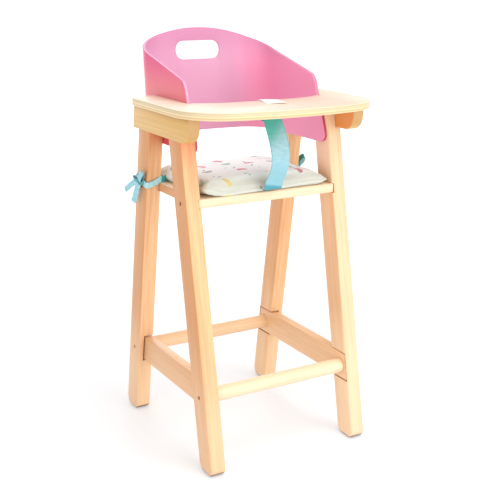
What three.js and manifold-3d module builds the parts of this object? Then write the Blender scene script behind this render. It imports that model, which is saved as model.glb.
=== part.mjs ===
// A doll's high chair in light wood. Two slanted side frames are joined by a seat board and two round
// stretchers. A bent plywood shell makes the back and sides, and a plywood tray lies on the frames'
// top brackets. A seat cushion is tied to the rear legs, and a webbing strap runs from it to the tray.
// Units are millimetres. X runs across the chair, Y from front to back and Z up from the floor.
import * as THREE from 'three';
import Module from 'manifold-3d';
import { mergeVertices } from 'three/addons/utils/BufferGeometryUtils.js';

const wasm = await Module();
wasm.setup();

// Clearance at every fit, how far cutters run past a face, and the distance at which points are one
const fit = 0.3;
const overrun = 6;
const samePoint = 0.001;

// Side frames
const frameWidth = 246;
const frameDepth = 274;
const trayUnderside = 465;
const legWidth = 21.5;
const legDepth = 34;
const frontLegRunLength = 90;
const rearLegRunLength = 70;
const legEdgeRadius = 2;
const toeRadius = 2.5;
const heelRadius = 15;

// Lower side rails, let into the legs' inner faces
const railThickness = 13;
const railHeight = 37;
const railBottom = 84;
const railStop = 2.6;
const railEdgeRadius = 1.2;

// Round stretchers between the rails, a little below the rails' middle
const stretcherDiameter = 20;
const stretcherDrop = 1.2;
const stretcherLetIn = 6;

// Top brackets, lapped over the legs' outer sides
const bracketThickness = 16.5;
const bracketHeight = 33.5;
const bracketLap = 8;
const bracketReach = 46;
const bracketCornerRadius = 20;
const bracketEdgeRadius = 1.6;

// Seat board
const seatTop = 357.5;
const seatThickness = 12.5;
const seatLetIn = 3;
const seatEdgeRadius = 1.5;

// Tray
const trayWidth = 282;
const trayThickness = 10;
const trayOverhang = 4;
const trayBow = 21;
const trayCornerRadius = 63;
const trayArmSetback = 3;
const trayArmOuterRadius = 18;
const trayArmInnerRadius = 4;
const trayEdgeRadius = 1;
const trayBellyDepth = 92;
const trayBellyRise = 20;

// Backrest shell
const shellThickness = 4;
const shellBottom = 412;
const shellHeight = 146;
const shellDepth = 179.8;
const shellBendRadius = 40;
const shellBackRadius = 700;
const shellLean = 14.5;
const wingRearHeight = 112;
const wingRearOffset = 20;
const wingFrontHeight = 89;
const wingFrontRunLength = 31;
const wingSetback = 1;
const wingStep = 3.5;
const wingTopRadius = 18;
const wingBottomRadius = 12;
const handSlotWidth = 72;
const handSlotHeight = 27;
const handSlotRadius = 11;
const handSlotDrop = 31;

// Wood screws, all of one head size
const screwHeadRadius = 3.6;
const screwHeadHeight = 2.6;
const screwShankRadius = 1.7;
const screwTipLength = 3;
const screwRecessRadius = 1.6;
const screwRecessDepth = 1.7;
const screwFit = 0.15;
const stretcherBite = 24;
const seatBite = 18;
const trayBite = 6;
const trayScrewGrip = 18;
const trayScrewClearance = 12;
const shellBite = 3;

// Seat cushion
const cushionWidth = 192;
const cushionThickness = 18;
const cushionOverhang = 1;
const cushionDrawIn = 3;
const cushionSeamHeight = 5;
const cushionCornerInset = 9;

// Crotch strap and its hook tape
const strapWidth = 27;
const strapThickness = 1.4;
const strapTopOffset = 14;
const strapBottomOffset = 8.5;
const strapBow = 17;
const strapHemHeight = 8;
const tapeThickness = 1;
const tapeLength = 30;
const tapeDrop = 26;

// Tie ribbons round the rear legs
const ribbonWidth = 9;
const ribbonThickness = 0.8;
const loopLength = 17;
const tailLength = 24;
const knotSize = 7;

// Shares, which carry no unit
const bowedFrontShares = [0.25, 0.45, 0.6];
const bellyShares = [0.3, 0.6, 0.77, 0.87, 0.95, 1];
const bellyPower = 4;
const crestFlatShare = 0.42;
const crestTurnShares = [0.68, 0.3];
const cushionCrownShare = 0.15;
const cushionFullnessPower = 7;
const strapBowShares = [[0, 0], [0.17, 0.27], [0.34, 0.6], [0.5, 0.97], [0.65, 1], [0.8, 0.55], [0.92, 0.12]];
const loopTurns = [0.22, 0.78];
const tailTurns = [-0.16, -0.42];
const tailWidthShare = 0.7;
const recessFloorShare = 0.8;

// Counts of facets
const edgeSteps = 2;
const arcSteps = 6;
const roundSteps = 24;
const screwSteps = 8;
const bendSteps = 9;
const backSteps = 14;
const cushionSteps = 22;

// Places that follow from the sizes
const legOuterX = frameWidth / 2;
const legInnerX = legOuterX - legWidth;
const railTop = railBottom + railHeight;
const stretcherCentre = railBottom + railHeight / 2 - stretcherDrop;
const seatUnderside = seatTop - seatThickness;
const seatCentre = seatTop - seatThickness / 2;
const bracketInnerX = legOuterX - bracketLap;
const bracketOuterX = bracketInnerX + bracketThickness;
const bracketTop = trayUnderside - fit;
const bracketBottom = bracketTop - bracketHeight;
const trayTop = trayUnderside + trayThickness;
const trayFront = -frameDepth / 2 - trayOverhang;
const shellOuterX = legInnerX - fit;
const shellInnerX = shellOuterX - shellThickness;
const shellTop = shellBottom + shellHeight;
const cushionUnderside = seatTop + fit;

// The legs' front and rear faces slant in the side view, so their places depend on the height.
const frontLegFront = (z) => -frameDepth / 2 + (frontLegRunLength * z) / trayUnderside;
const rearLegBack = (z) => frameDepth / 2 - (rearLegRunLength * z) / trayUnderside;
const frontLegCentre = (z) => frontLegFront(z) + legDepth / 2;
const rearLegCentre = (z) => rearLegBack(z) - legDepth / 2;
const trayRear = rearLegBack(trayUnderside) - trayArmSetback;

// Finishes
const beech = { color: 0xe6c08f, roughness: 0.55, metalness: 0 };
const plywood = { color: 0xead9b8, roughness: 0.5, metalness: 0 };
const pinkLacquer = { color: 0xe887ad, roughness: 0.35, metalness: 0 };
const printedCotton = { color: 0xf1efe9, roughness: 0.95, metalness: 0 };
const tealWebbing = { color: 0x6fc9cf, roughness: 0.85, metalness: 0 };
const whiteTape = { color: 0xf2f2ee, roughness: 0.9, metalness: 0 };
const zincSteel = { color: 0xb9bbbe, roughness: 0.35, metalness: 1 };

// Welds a geometry into one closed mesh without empty triangles and turns its faces outwards.
function welded(geometry) {
  const source = geometry.clone();
  source.deleteAttribute('normal');
  source.deleteAttribute('uv');
  const merged = mergeVertices(source);
  const place = merged.attributes.position;
  const corners = merged.index.array;
  const a = new THREE.Vector3();
  const b = new THREE.Vector3();
  const c = new THREE.Vector3();
  const kept = [];
  let volume = 0;
  for (let i = 0; i < corners.length; i += 3) {
    const [p, q, r] = [corners[i], corners[i + 1], corners[i + 2]];
    if (p === q || q === r || r === p) continue;
    kept.push(p, q, r);
    a.fromBufferAttribute(place, p);
    b.fromBufferAttribute(place, q);
    c.fromBufferAttribute(place, r);
    volume += a.dot(b.cross(c));
  }
  if (volume < 0) kept.reverse();
  const result = new THREE.BufferGeometry();
  result.setAttribute('position', place);
  result.setIndex(kept);
  return result;
}

function solid(geometry) {
  const closed = welded(geometry);
  const vertProperties = new Float32Array(closed.attributes.position.array);
  const triVerts = new Uint32Array(closed.index.array);
  return new wasm.Manifold(new wasm.Mesh({ numProp: 3, vertProperties, triVerts }));
}

function geometryOf(body) {
  const mesh = body.getMesh();
  const geometry = new THREE.BufferGeometry();
  geometry.setAttribute('position', new THREE.BufferAttribute(new Float32Array(mesh.vertProperties), 3));
  geometry.setIndex(new THREE.BufferAttribute(new Uint32Array(mesh.triVerts), 1));
  return geometry;
}

// A flat outline whose corners are [x, y, radius]; a radius of zero leaves the corner sharp.
function roundedOutline(corners) {
  const points = [];
  corners.forEach(([x, y, radius], index) => {
    const here = new THREE.Vector2(x, y);
    if (radius === 0) {
      points.push(here);
      return;
    }
    const before = corners[(index + corners.length - 1) % corners.length];
    const after = corners[(index + 1) % corners.length];
    const toBefore = new THREE.Vector2(before[0], before[1]).sub(here).normalize();
    const toAfter = new THREE.Vector2(after[0], after[1]).sub(here).normalize();
    const halfAngle = Math.acos(toBefore.dot(toAfter)) / 2;
    const reach = radius / Math.tan(halfAngle);
    const middle = toBefore.clone().add(toAfter).normalize();
    const centre = here.clone().addScaledVector(middle, radius / Math.sin(halfAngle));
    const start = here.clone().addScaledVector(toBefore, reach).sub(centre).angle();
    const end = here.clone().addScaledVector(toAfter, reach).sub(centre).angle();
    const turn = Math.atan2(Math.sin(end - start), Math.cos(end - start));
    for (let step = 0; step <= arcSteps; step += 1) {
      const angle = start + (turn * step) / arcSteps;
      points.push(new THREE.Vector2(Math.cos(angle), Math.sin(angle)).multiplyScalar(radius).add(centre));
    }
  });
  return points;
}

function extruded(points, depth, edgeRadius) {
  return new THREE.ExtrudeGeometry(new THREE.Shape(points), {
    depth: depth - 2 * edgeRadius,
    bevelEnabled: edgeRadius > 0,
    bevelThickness: edgeRadius,
    bevelSize: edgeRadius,
    bevelOffset: -edgeRadius,
    bevelSegments: edgeSteps,
  }).translate(0, 0, edgeRadius);
}

// A board seen from the side: its outline holds Y and Z, and it is as thick in X as the two planes say.
function sideBoard(points, lowX, highX, edgeRadius) {
  const geometry = extruded(points, highX - lowX, edgeRadius);
  const axes = new THREE.Matrix4().makeBasis(
    new THREE.Vector3(0, 1, 0),
    new THREE.Vector3(0, 0, 1),
    new THREE.Vector3(1, 0, 0),
  );
  return geometry.applyMatrix4(axes).translate(lowX, 0, 0);
}

// A board seen from above: its outline holds X and Y.
function flatBoard(points, lowZ, highZ, edgeRadius) {
  return extruded(points, highZ - lowZ, edgeRadius).translate(0, 0, lowZ);
}

function box(low, high) {
  const geometry = new THREE.BoxGeometry(high[0] - low[0], high[1] - low[1], high[2] - low[2]);
  return geometry.translate((low[0] + high[0]) / 2, (low[1] + high[1]) / 2, (low[2] + high[2]) / 2);
}

function roundBarX(radius, lowX, highX, y, z, steps = roundSteps) {
  const geometry = new THREE.CylinderGeometry(radius, radius, highX - lowX, steps);
  return geometry.rotateZ(Math.PI / 2).translate((lowX + highX) / 2, y, z);
}

// Turns a lathe's axis from +Y to the way that a screw head faces and moves the head to its place.
function aimed(geometry, place, facing) {
  const turn = new THREE.Quaternion().setFromUnitVectors(new THREE.Vector3(0, 1, 0), facing);
  return geometry.applyQuaternion(turn).translate(place.x, place.y, place.z);
}

function screwGeometry({ place, facing, length }) {
  const profile = [
    [0, -length],
    [screwShankRadius, -length + screwTipLength],
    [screwShankRadius, -screwHeadHeight],
    [screwHeadRadius, 0],
    [screwRecessRadius, 0],
    [screwRecessRadius * recessFloorShare, -screwRecessDepth],
    [0, -screwRecessDepth],
  ].map(([radius, height]) => new THREE.Vector2(radius, height));
  return aimed(new THREE.LatheGeometry(profile, screwSteps), place, facing);
}

// The hole that a screw fills: its shape grown by the screw fit and opened past its head.
function screwHole({ place, facing, length }) {
  const shank = screwShankRadius + screwFit;
  const head = screwHeadRadius + screwFit;
  const profile = [
    [0, -length - screwFit],
    [shank, -length + screwTipLength - screwFit],
    [shank, -screwHeadHeight - screwFit],
    [head, -screwFit],
    [head, overrun],
    [0, overrun],
  ].map(([radius, height]) => new THREE.Vector2(radius, height));
  return aimed(new THREE.LatheGeometry(profile, screwSteps), place, facing);
}

// Screws for one side of the chair, with side +1 on its +X side and -1 on the other
function screwsOfSide(side) {
  const outward = new THREE.Vector3(side, 0, 0);
  const upwardHead = new THREE.Vector3(0, 0, -1);
  const stretcherEndX = legInnerX + stretcherLetIn - fit;
  const screws = [];
  for (const [end, centre] of [['front', frontLegCentre], ['rear', rearLegCentre]]) {
    screws.push({
      name: `rail_screw_${end}`,
      place: new THREE.Vector3(side * legOuterX, centre(stretcherCentre), stretcherCentre),
      facing: outward,
      length: legOuterX - stretcherEndX + stretcherBite,
    });
    screws.push({
      name: `seat_screw_${end}`,
      place: new THREE.Vector3(side * legOuterX, centre(seatCentre), seatCentre),
      facing: outward,
      length: legOuterX - legInnerX - seatLetIn + seatBite,
    });
    const shellScrewZ = (bracketBottom + bracketTop) / 2;
    screws.push({
      name: `shell_screw_${end}`,
      place: new THREE.Vector3(side * (bracketInnerX - fit), centre(shellScrewZ), shellScrewZ),
      facing: outward,
      length: bracketInnerX - fit - shellOuterX + shellBite,
    });
  }
  const bracketMiddleX = (bracketInnerX + bracketOuterX) / 2;
  const trayScrewFront = frontLegFront(trayUnderside) - bracketReach / 2;
  const trayScrewRear = rearLegBack(trayUnderside) - legDepth - trayScrewClearance;
  for (const [end, y] of [['front', trayScrewFront], ['rear', trayScrewRear]]) {
    screws.push({
      name: `tray_screw_${end}`,
      place: new THREE.Vector3(side * bracketMiddleX, y, trayUnderside - trayScrewGrip),
      facing: upwardHead,
      length: trayScrewGrip + trayBite,
    });
  }
  return screws;
}

const screws = [...screwsOfSide(1), ...screwsOfSide(-1)];

function withScrewHoles(body, kinds) {
  return screws
    .filter((screw) => kinds.some((kind) => screw.name.startsWith(kind)))
    .reduce((rest, screw) => rest.subtract(solid(screwHole(screw))), body);
}

function mirrored(geometry, side) {
  return side > 0 ? geometry : welded(geometry.clone().scale(-1, 1, 1));
}

// The side view of a rail, grown by a margin for the housings that take it
function railOutline(margin) {
  const low = railBottom - margin;
  const high = railTop + margin;
  const front = (z) => frontLegFront(z) + railStop - margin;
  const rear = (z) => rearLegBack(z) - railStop + margin;
  return roundedOutline([
    [front(low), low, 0],
    [rear(low), low, 0],
    [rear(high), high, 0],
    [front(high), high, 0],
  ]);
}

function legSolid(isFront, side) {
  const high = trayUnderside + overrun;
  const front = (z) => (isFront ? frontLegFront(z) : rearLegBack(z) - legDepth);
  const outline = roundedOutline([
    [front(0), 0, toeRadius],
    [front(0) + legDepth, 0, heelRadius],
    [front(high) + legDepth, high, 0],
    [front(high), high, 0],
  ]);
  const reachY = frameDepth / 2 + overrun;
  const cutters = [
    box([-frameWidth, -reachY, trayUnderside - fit], [frameWidth, reachY, high + overrun]),
    mirrored(box([bracketInnerX - fit, -reachY, bracketBottom - fit], [frameWidth, reachY, high]), side),
    mirrored(box([0, -reachY, seatUnderside - fit], [legInnerX + seatLetIn, reachY, seatTop + fit]), side),
    mirrored(sideBoard(railOutline(fit), legInnerX - overrun, legInnerX + railThickness + fit, 0), side),
  ];
  let body = solid(mirrored(sideBoard(outline, legInnerX, legOuterX, legEdgeRadius), side));
  for (const cutter of cutters) body = body.subtract(solid(cutter));
  return withScrewHoles(body, ['rail_screw', 'seat_screw', 'shell_screw']);
}

function railSolid(side) {
  const board = sideBoard(railOutline(0), legInnerX, legInnerX + railThickness, railEdgeRadius);
  let body = solid(mirrored(board, side));
  for (const y of [frontLegCentre(stretcherCentre), rearLegCentre(stretcherCentre)]) {
    const radius = stretcherDiameter / 2 + fit;
    const socket = roundBarX(radius, legInnerX - overrun, legInnerX + stretcherLetIn, y, stretcherCentre);
    body = body.subtract(solid(mirrored(socket, side)));
  }
  return withScrewHoles(body, ['rail_screw']);
}

function stretcherSolid(y) {
  const end = legInnerX + stretcherLetIn - fit;
  const body = solid(roundBarX(stretcherDiameter / 2, -end, end, y, stretcherCentre));
  return withScrewHoles(body, ['rail_screw']);
}

function seatBoardSolid() {
  const half = legInnerX + seatLetIn - fit;
  const outline = roundedOutline([
    [-half, frontLegFront(seatTop), 0],
    [half, frontLegFront(seatTop), 0],
    [half, rearLegBack(seatTop), 0],
    [-half, rearLegBack(seatTop), 0],
  ]);
  return withScrewHoles(solid(flatBoard(outline, seatUnderside, seatTop, seatEdgeRadius)), ['seat_screw']);
}

function bracketSolid(side) {
  const front = frontLegFront(trayUnderside) - bracketReach;
  const outline = roundedOutline([
    [front, bracketBottom, bracketCornerRadius],
    [rearLegBack(bracketBottom), bracketBottom, 0],
    [rearLegBack(bracketTop), bracketTop, 0],
    [front, bracketTop, 0],
  ]);
  let body = solid(mirrored(sideBoard(outline, bracketInnerX, bracketOuterX, bracketEdgeRadius), side));
  for (const screw of screws.filter(({ name }) => name.startsWith('tray_screw'))) {
    const well = new THREE.CylinderGeometry(
      screwHeadRadius + screwFit,
      screwHeadRadius + screwFit,
      screw.place.z - bracketBottom + overrun,
      screwSteps,
    );
    well.rotateY(Math.PI / 2).rotateX(-Math.PI / 2);
    well.translate(screw.place.x, screw.place.y, (screw.place.z + bracketBottom - overrun) / 2);
    body = body.subtract(solid(well));
  }
  return withScrewHoles(body, ['tray_screw']);
}

// The front edge of a backrest wing, which leans back from the front leg's face and steps back a
// little where it passes the tray
const wingFront = (z) => frontLegFront(shellBottom) + wingSetback
  + (wingFrontRunLength * (z - shellBottom)) / wingFrontHeight
  + wingStep * THREE.MathUtils.clamp((z - trayUnderside) / trayThickness, 0, 1);

function traySolid() {
  const half = trayWidth / 2;
  const bowed = (share) => [half * share, trayFront + trayBow * share * share, 0];
  const belly = trayFront + trayBellyDepth;
  const bellyHalf = shellInnerX - fit;
  const bellied = (share) => [bellyHalf * share, belly + trayBellyRise * share ** bellyPower, 0];
  const flip = ([x, y, radius]) => [-x, y, radius];
  const slotFront = wingFront(trayUnderside) - 2 * fit;
  const rightHalf = [
    ...bowedFrontShares.map(bowed),
    [half, trayFront + trayBow, trayCornerRadius],
    [half, trayRear, trayArmOuterRadius],
    [shellOuterX + fit, trayRear, trayArmInnerRadius],
    [shellOuterX + fit, slotFront, 0],
    [bellyHalf, slotFront, 0],
    ...bellyShares.map(bellied).reverse(),
  ];
  const outline = roundedOutline([
    [0, trayFront, 0],
    ...rightHalf,
    [0, belly, 0],
    ...rightHalf.map(flip).reverse(),
  ]);
  const body = solid(flatBoard(outline, trayUnderside, trayTop, trayEdgeRadius));
  return withScrewHoles(body, ['tray_screw']);
}

// The shell's plan is an arc across the back, a tighter bend at each side and a straight wing.
const shellBend = {
  centreX: shellInnerX - shellBendRadius,
  radius: shellBendRadius + shellThickness / 2,
};
shellBend.backAngle = Math.asin(shellBend.centreX / (shellBackRadius - shellBendRadius));
shellBend.backY = frontLegFront(shellBottom) + shellDepth + shellThickness / 2;
shellBend.centreY = shellBend.backY - shellBackRadius - shellThickness / 2
  + (shellBackRadius - shellBendRadius) * Math.cos(shellBend.backAngle);
shellBend.backLength = (shellBackRadius + shellThickness / 2) * shellBend.backAngle;
shellBend.bendLength = shellBend.radius * (Math.PI / 2 - shellBend.backAngle);
shellBend.wingStart = shellBend.backLength + shellBend.bendLength;

// Plan place and outward direction at a distance along the shell's middle surface from its centre line
function shellPlan(distance) {
  const { centreX, centreY, radius, backAngle, backY, backLength, wingStart } = shellBend;
  if (distance <= backLength) {
    const angle = distance / (shellBackRadius + shellThickness / 2);
    const centre = backY - shellBackRadius - shellThickness / 2;
    const reach = shellBackRadius + shellThickness / 2;
    return { x: reach * Math.sin(angle), y: centre + reach * Math.cos(angle), angle };
  }
  if (distance <= wingStart) {
    const angle = backAngle + (distance - backLength) / radius;
    return { x: centreX + radius * Math.sin(angle), y: centreY + radius * Math.cos(angle), angle };
  }
  return { x: centreX + radius, y: centreY - (distance - wingStart), angle: Math.PI / 2 };
}

const shellLeanAt = (z) => (shellLean * (z - shellBottom)) / shellHeight;

// Distance along the shell at which a wing's front edge lies at a height
const wingFrontDistance = (z) => shellBend.wingStart + shellBend.centreY - wingFront(z) + shellLeanAt(z);

// Half of the flat blank: distance from the centre line, and height
function shellBlankHalf() {
  const rearDistance = shellBend.wingStart + wingRearOffset;
  const rearTop = shellBottom + wingRearHeight;
  const frontTop = shellBottom + wingFrontHeight;
  const crest = new THREE.CubicBezierCurve(
    new THREE.Vector2(0, shellTop),
    new THREE.Vector2(rearDistance * crestFlatShare, shellTop),
    new THREE.Vector2(
      rearDistance * crestTurnShares[0],
      rearTop + (shellTop - rearTop) * crestTurnShares[1],
    ),
    new THREE.Vector2(rearDistance, rearTop),
  ).getPoints(backSteps);
  const outline = roundedOutline([
    [rearDistance, rearTop, 0],
    [wingFrontDistance(frontTop), frontTop, wingTopRadius],
    [wingFrontDistance(trayTop), trayTop, 0],
    [wingFrontDistance(trayUnderside), trayUnderside, 0],
    [wingFrontDistance(shellBottom), shellBottom, wingBottomRadius],
    [rearDistance, shellBottom, 0],
  ]);
  return { crest: crest.slice(0, -1), outline };
}

// Height of a chain of blank points at a distance along the shell
function chainHeight(chain, distance) {
  for (let i = 0; i + 1 < chain.length; i += 1) {
    const [a, b] = [chain[i], chain[i + 1]];
    if (distance >= a.x && distance <= b.x && b.x > a.x) {
      return THREE.MathUtils.lerp(a.y, b.y, (distance - a.x) / (b.x - a.x));
    }
  }
  return chain[chain.length - 1].y;
}

function shellSolid() {
  const { crest, outline } = shellBlankHalf();
  const tip = outline.reduce((best, point, index) => (point.x > outline[best].x ? index : best), 0);
  const upper = [...crest, ...outline.slice(0, tip + 1)];
  const lower = [new THREE.Vector2(0, shellBottom), ...outline.slice(tip).reverse()];
  const bends = [];
  for (let step = 1; step <= bendSteps; step += 1) {
    bends.push(shellBend.backLength + (shellBend.bendLength * step) / bendSteps);
  }
  const tipDistance = outline[tip].x;
  const distances = [...upper, ...lower].map((point) => point.x).concat(bends);
  const spread = distances
    .filter((value) => value > samePoint && value < tipDistance - samePoint)
    .sort((a, b) => a - b)
    .filter((value, index, sorted) => index === 0 || value - sorted[index - 1] > samePoint);
  const half = [0, ...spread, tipDistance];
  const signed = [...half.slice(1).reverse().map((value) => -value), ...half];
  const columns = signed.map((value) => {
    const plan = shellPlan(Math.abs(value));
    const side = value < 0 ? -1 : 1;
    const place = (z, offset) => [
      side * (plan.x + offset * Math.sin(plan.angle)),
      plan.y + offset * Math.cos(plan.angle) + shellLeanAt(z),
      z,
    ];
    const low = chainHeight(lower, Math.abs(value));
    const high = Math.abs(value) >= tipDistance ? low : chainHeight(upper, Math.abs(value));
    const out = shellThickness / 2;
    return [place(low, -out), place(low, out), place(high, out), place(high, -out)];
  });
  const positions = columns.flat(2);
  const faces = [];
  for (let column = 0; column + 1 < columns.length; column += 1) {
    for (let edge = 0; edge < 4; edge += 1) {
      const next = (edge + 1) % 4;
      const [a, b] = [column * 4 + edge, column * 4 + next];
      faces.push(a, b, b + 4, a, b + 4, a + 4);
    }
  }
  const geometry = new THREE.BufferGeometry();
  geometry.setAttribute('position', new THREE.Float32BufferAttribute(positions, 3));
  geometry.setIndex(faces);
  const slotTop = shellTop - handSlotDrop + handSlotHeight / 2;
  const slot = roundedOutline([
    [-handSlotWidth / 2, slotTop - handSlotHeight, handSlotRadius],
    [handSlotWidth / 2, slotTop - handSlotHeight, handSlotRadius],
    [handSlotWidth / 2, slotTop, handSlotRadius],
    [-handSlotWidth / 2, slotTop, handSlotRadius],
  ]);
  const cutterDepth = shellDepth / 2;
  const cutter = extruded(slot, cutterDepth, 0).rotateX(Math.PI / 2);
  cutter.translate(0, shellBend.backY + cutterDepth / 2, 0);
  return withScrewHoles(solid(geometry).subtract(solid(cutter)), ['shell_screw']);
}

// A padded form on a square grid: an upper and a lower skin that meet in a seam round the edge.
function cushionGeometry() {
  const frontY = frontLegFront(seatTop) - cushionOverhang;
  const rearY = rearLegBack(seatTop);
  const centreY = (frontY + rearY) / 2;
  const halfX = cushionWidth / 2;
  const halfY = (rearY - frontY) / 2;
  const rim = cushionUnderside + cushionSeamHeight;
  const n = cushionSteps;
  const eased = (t) => Math.sin((t * Math.PI) / 2);
  const skin = (upper) => (i, j) => {
    const u = eased((2 * i) / n - 1);
    const v = eased((2 * j) / n - 1);
    // Each side is drawn in between the corners, and each corner is pulled in towards the middle.
    const sideX = cushionDrawIn * (1 - v * v) + cushionCornerInset * Math.abs(v) ** cushionFullnessPower;
    const sideY = cushionDrawIn * (1 - u * u) * (v > 0 ? 1 : 0)
      + cushionCornerInset * Math.abs(u) ** cushionFullnessPower;
    const x = u * (halfX - sideX * Math.abs(u));
    const y = centreY + v * (halfY - sideY * Math.abs(v));
    const edge = (1 - Math.abs(u) ** cushionFullnessPower) * (1 - Math.abs(v) ** cushionFullnessPower);
    const fullness = Math.sqrt(Math.max(edge, 0));
    const crown = 1 - cushionCrownShare + cushionCrownShare * (1 - u * u) * (1 - v * v);
    const rise = upper ? cushionThickness - cushionSeamHeight : -cushionSeamHeight;
    return [x, y, rim + rise * fullness * (upper ? crown : 1)];
  };
  const positions = [];
  const faces = [];
  for (const upper of [true, false]) {
    const start = positions.length / 3;
    const at = skin(upper);
    for (let j = 0; j <= n; j += 1) {
      for (let i = 0; i <= n; i += 1) positions.push(...at(i, j));
    }
    for (let j = 0; j < n; j += 1) {
      for (let i = 0; i < n; i += 1) {
        const a = start + j * (n + 1) + i;
        const [b, c, d] = [a + 1, a + n + 2, a + n + 1];
        if (upper) faces.push(a, b, c, a, c, d);
        else faces.push(a, c, b, a, d, c);
      }
    }
  }
  const geometry = new THREE.BufferGeometry();
  geometry.setAttribute('position', new THREE.Float32BufferAttribute(positions, 3));
  geometry.setIndex(faces);
  return welded(geometry);
}

// A flat band that follows points in the side view, with its own middle X at each point
function bandGeometry(path, width, thickness) {
  const positions = [];
  const faces = [];
  path.forEach((point, index) => {
    const before = path[Math.max(index - 1, 0)];
    const after = path[Math.min(index + 1, path.length - 1)];
    const along = new THREE.Vector2(after.y - before.y, after.z - before.z).normalize();
    const normal = new THREE.Vector2(-along.y, along.x).multiplyScalar(thickness / 2);
    for (const [across, through] of [[-1, -1], [1, -1], [1, 1], [-1, 1]]) {
      positions.push(
        point.x + (across * width) / 2,
        point.y + through * normal.x,
        point.z + through * normal.y,
      );
    }
  });
  for (let ring = 0; ring + 1 < path.length; ring += 1) {
    for (let edge = 0; edge < 4; edge += 1) {
      const next = (edge + 1) % 4;
      const [a, b] = [ring * 4 + edge, ring * 4 + next];
      faces.push(a, b, b + 4, a, b + 4, a + 4);
    }
  }
  const last = (path.length - 1) * 4;
  faces.push(0, 2, 1, 0, 3, 2, last, last + 1, last + 2, last, last + 2, last + 3);
  const geometry = new THREE.BufferGeometry();
  geometry.setAttribute('position', new THREE.Float32BufferAttribute(positions, 3));
  geometry.setIndex(faces);
  return welded(geometry);
}

const trayBellyY = trayFront + trayBellyDepth;
const tapeOuterY = trayBellyY + fit + tapeThickness;

// The strap hangs in a slack bow from behind the tray's inner edge to the cushion's front seam.
function strapGeometry() {
  const topY = tapeOuterY - tapeThickness - fit - strapThickness / 2;
  const topZ = trayUnderside - fit - strapThickness / 2;
  const bottomY = frontLegFront(seatTop) - cushionOverhang - fit - strapThickness;
  const bottomZ = cushionUnderside + cushionSeamHeight - strapHemHeight / 2;
  const hemTop = bottomZ + strapHemHeight;
  const drop = topZ - hemTop;
  const bowed = strapBowShares.map(([share, bow]) => new THREE.Vector3(
    THREE.MathUtils.lerp(strapTopOffset, strapBottomOffset, share),
    THREE.MathUtils.lerp(topY, bottomY, share) - strapBow * bow,
    topZ - drop * share,
  ));
  const curve = new THREE.CatmullRomCurve3([
    ...bowed,
    new THREE.Vector3(strapBottomOffset, bottomY, hemTop),
    new THREE.Vector3(strapBottomOffset, bottomY, bottomZ),
  ]);
  return bandGeometry(curve.getPoints(roundSteps), strapWidth, strapThickness);
}

// The hook tape lies on the tray, turns over its inner edge and hangs behind the strap's top end.
function tapeGeometry() {
  const half = tapeThickness / 2;
  const topZ = trayTop + fit + half;
  const backY = trayBellyY + fit + half;
  const turn = fit + tapeThickness;
  const path = [new THREE.Vector3(strapTopOffset, trayBellyY - tapeLength, topZ)];
  for (let step = 0; step <= arcSteps; step += 1) {
    const angle = (Math.PI / 2) * (step / arcSteps);
    path.push(new THREE.Vector3(
      strapTopOffset,
      backY - turn + turn * Math.sin(angle),
      topZ - turn + turn * Math.cos(angle),
    ));
  }
  path.push(new THREE.Vector3(strapTopOffset, backY, trayUnderside - tapeDrop));
  return bandGeometry(path, strapWidth, tapeThickness);
}

// A ribbon ring round a rear leg, level with the cushion
function tieBandSolid(side) {
  const low = cushionUnderside;
  const back = rearLegBack(low);
  const ring = (gap) => roundedOutline([
    [legInnerX - gap, back - legDepth - gap, legEdgeRadius + gap],
    [legOuterX + gap, back - legDepth - gap, legEdgeRadius + gap],
    [legOuterX + gap, back + gap, legEdgeRadius + gap],
    [legInnerX - gap, back + gap, legEdgeRadius + gap],
  ]);
  const outer = solid(flatBoard(ring(2 * fit + ribbonThickness), low, low + ribbonWidth, 0));
  const inner = solid(flatBoard(ring(2 * fit), low - overrun, low + ribbonWidth + overrun, 0));
  const band = geometryOf(outer.subtract(inner));
  // The ring follows the leg's slant.
  const place = band.attributes.position;
  for (let i = 0; i < place.count; i += 1) {
    place.setY(i, place.getY(i) + rearLegBack(place.getZ(i)) - back);
  }
  return mirrored(welded(band), side);
}

// A flattened bow outside the rear leg: knot, two loops and two tails in one body
function tieBowSolid(side) {
  const z = cushionUnderside + ribbonWidth / 2;
  const x = legOuterX + 3 * fit + ribbonThickness + knotSize / 2;
  const y = rearLegCentre(z);
  const petal = (length, width, turn) => {
    const shape = new THREE.SphereGeometry(1, arcSteps * 2, arcSteps);
    shape.scale(knotSize / 3, length / 2, width / 2).translate(0, length / 2, 0);
    return shape.rotateX(Math.PI * turn).translate(x, y, z);
  };
  const knot = new THREE.SphereGeometry(knotSize / 2, arcSteps * 2, arcSteps).translate(x, y, z);
  const parts = [
    ...loopTurns.map((turn) => petal(loopLength, ribbonWidth, turn)),
    ...tailTurns.map((turn) => petal(tailLength, ribbonWidth * tailWidthShare, turn)),
  ];
  const body = parts.reduce((whole, part) => whole.add(solid(part)), solid(knot));
  return mirrored(geometryOf(body), side);
}

// The scene graph: one group for each side frame and one for what joins them
const chair = new THREE.Group();

function addPiece(group, name, geometry, finish) {
  geometry.computeVertexNormals();
  const mesh = new THREE.Mesh(geometry, new THREE.MeshStandardMaterial(finish));
  mesh.name = name;
  group.add(mesh);
}

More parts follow.
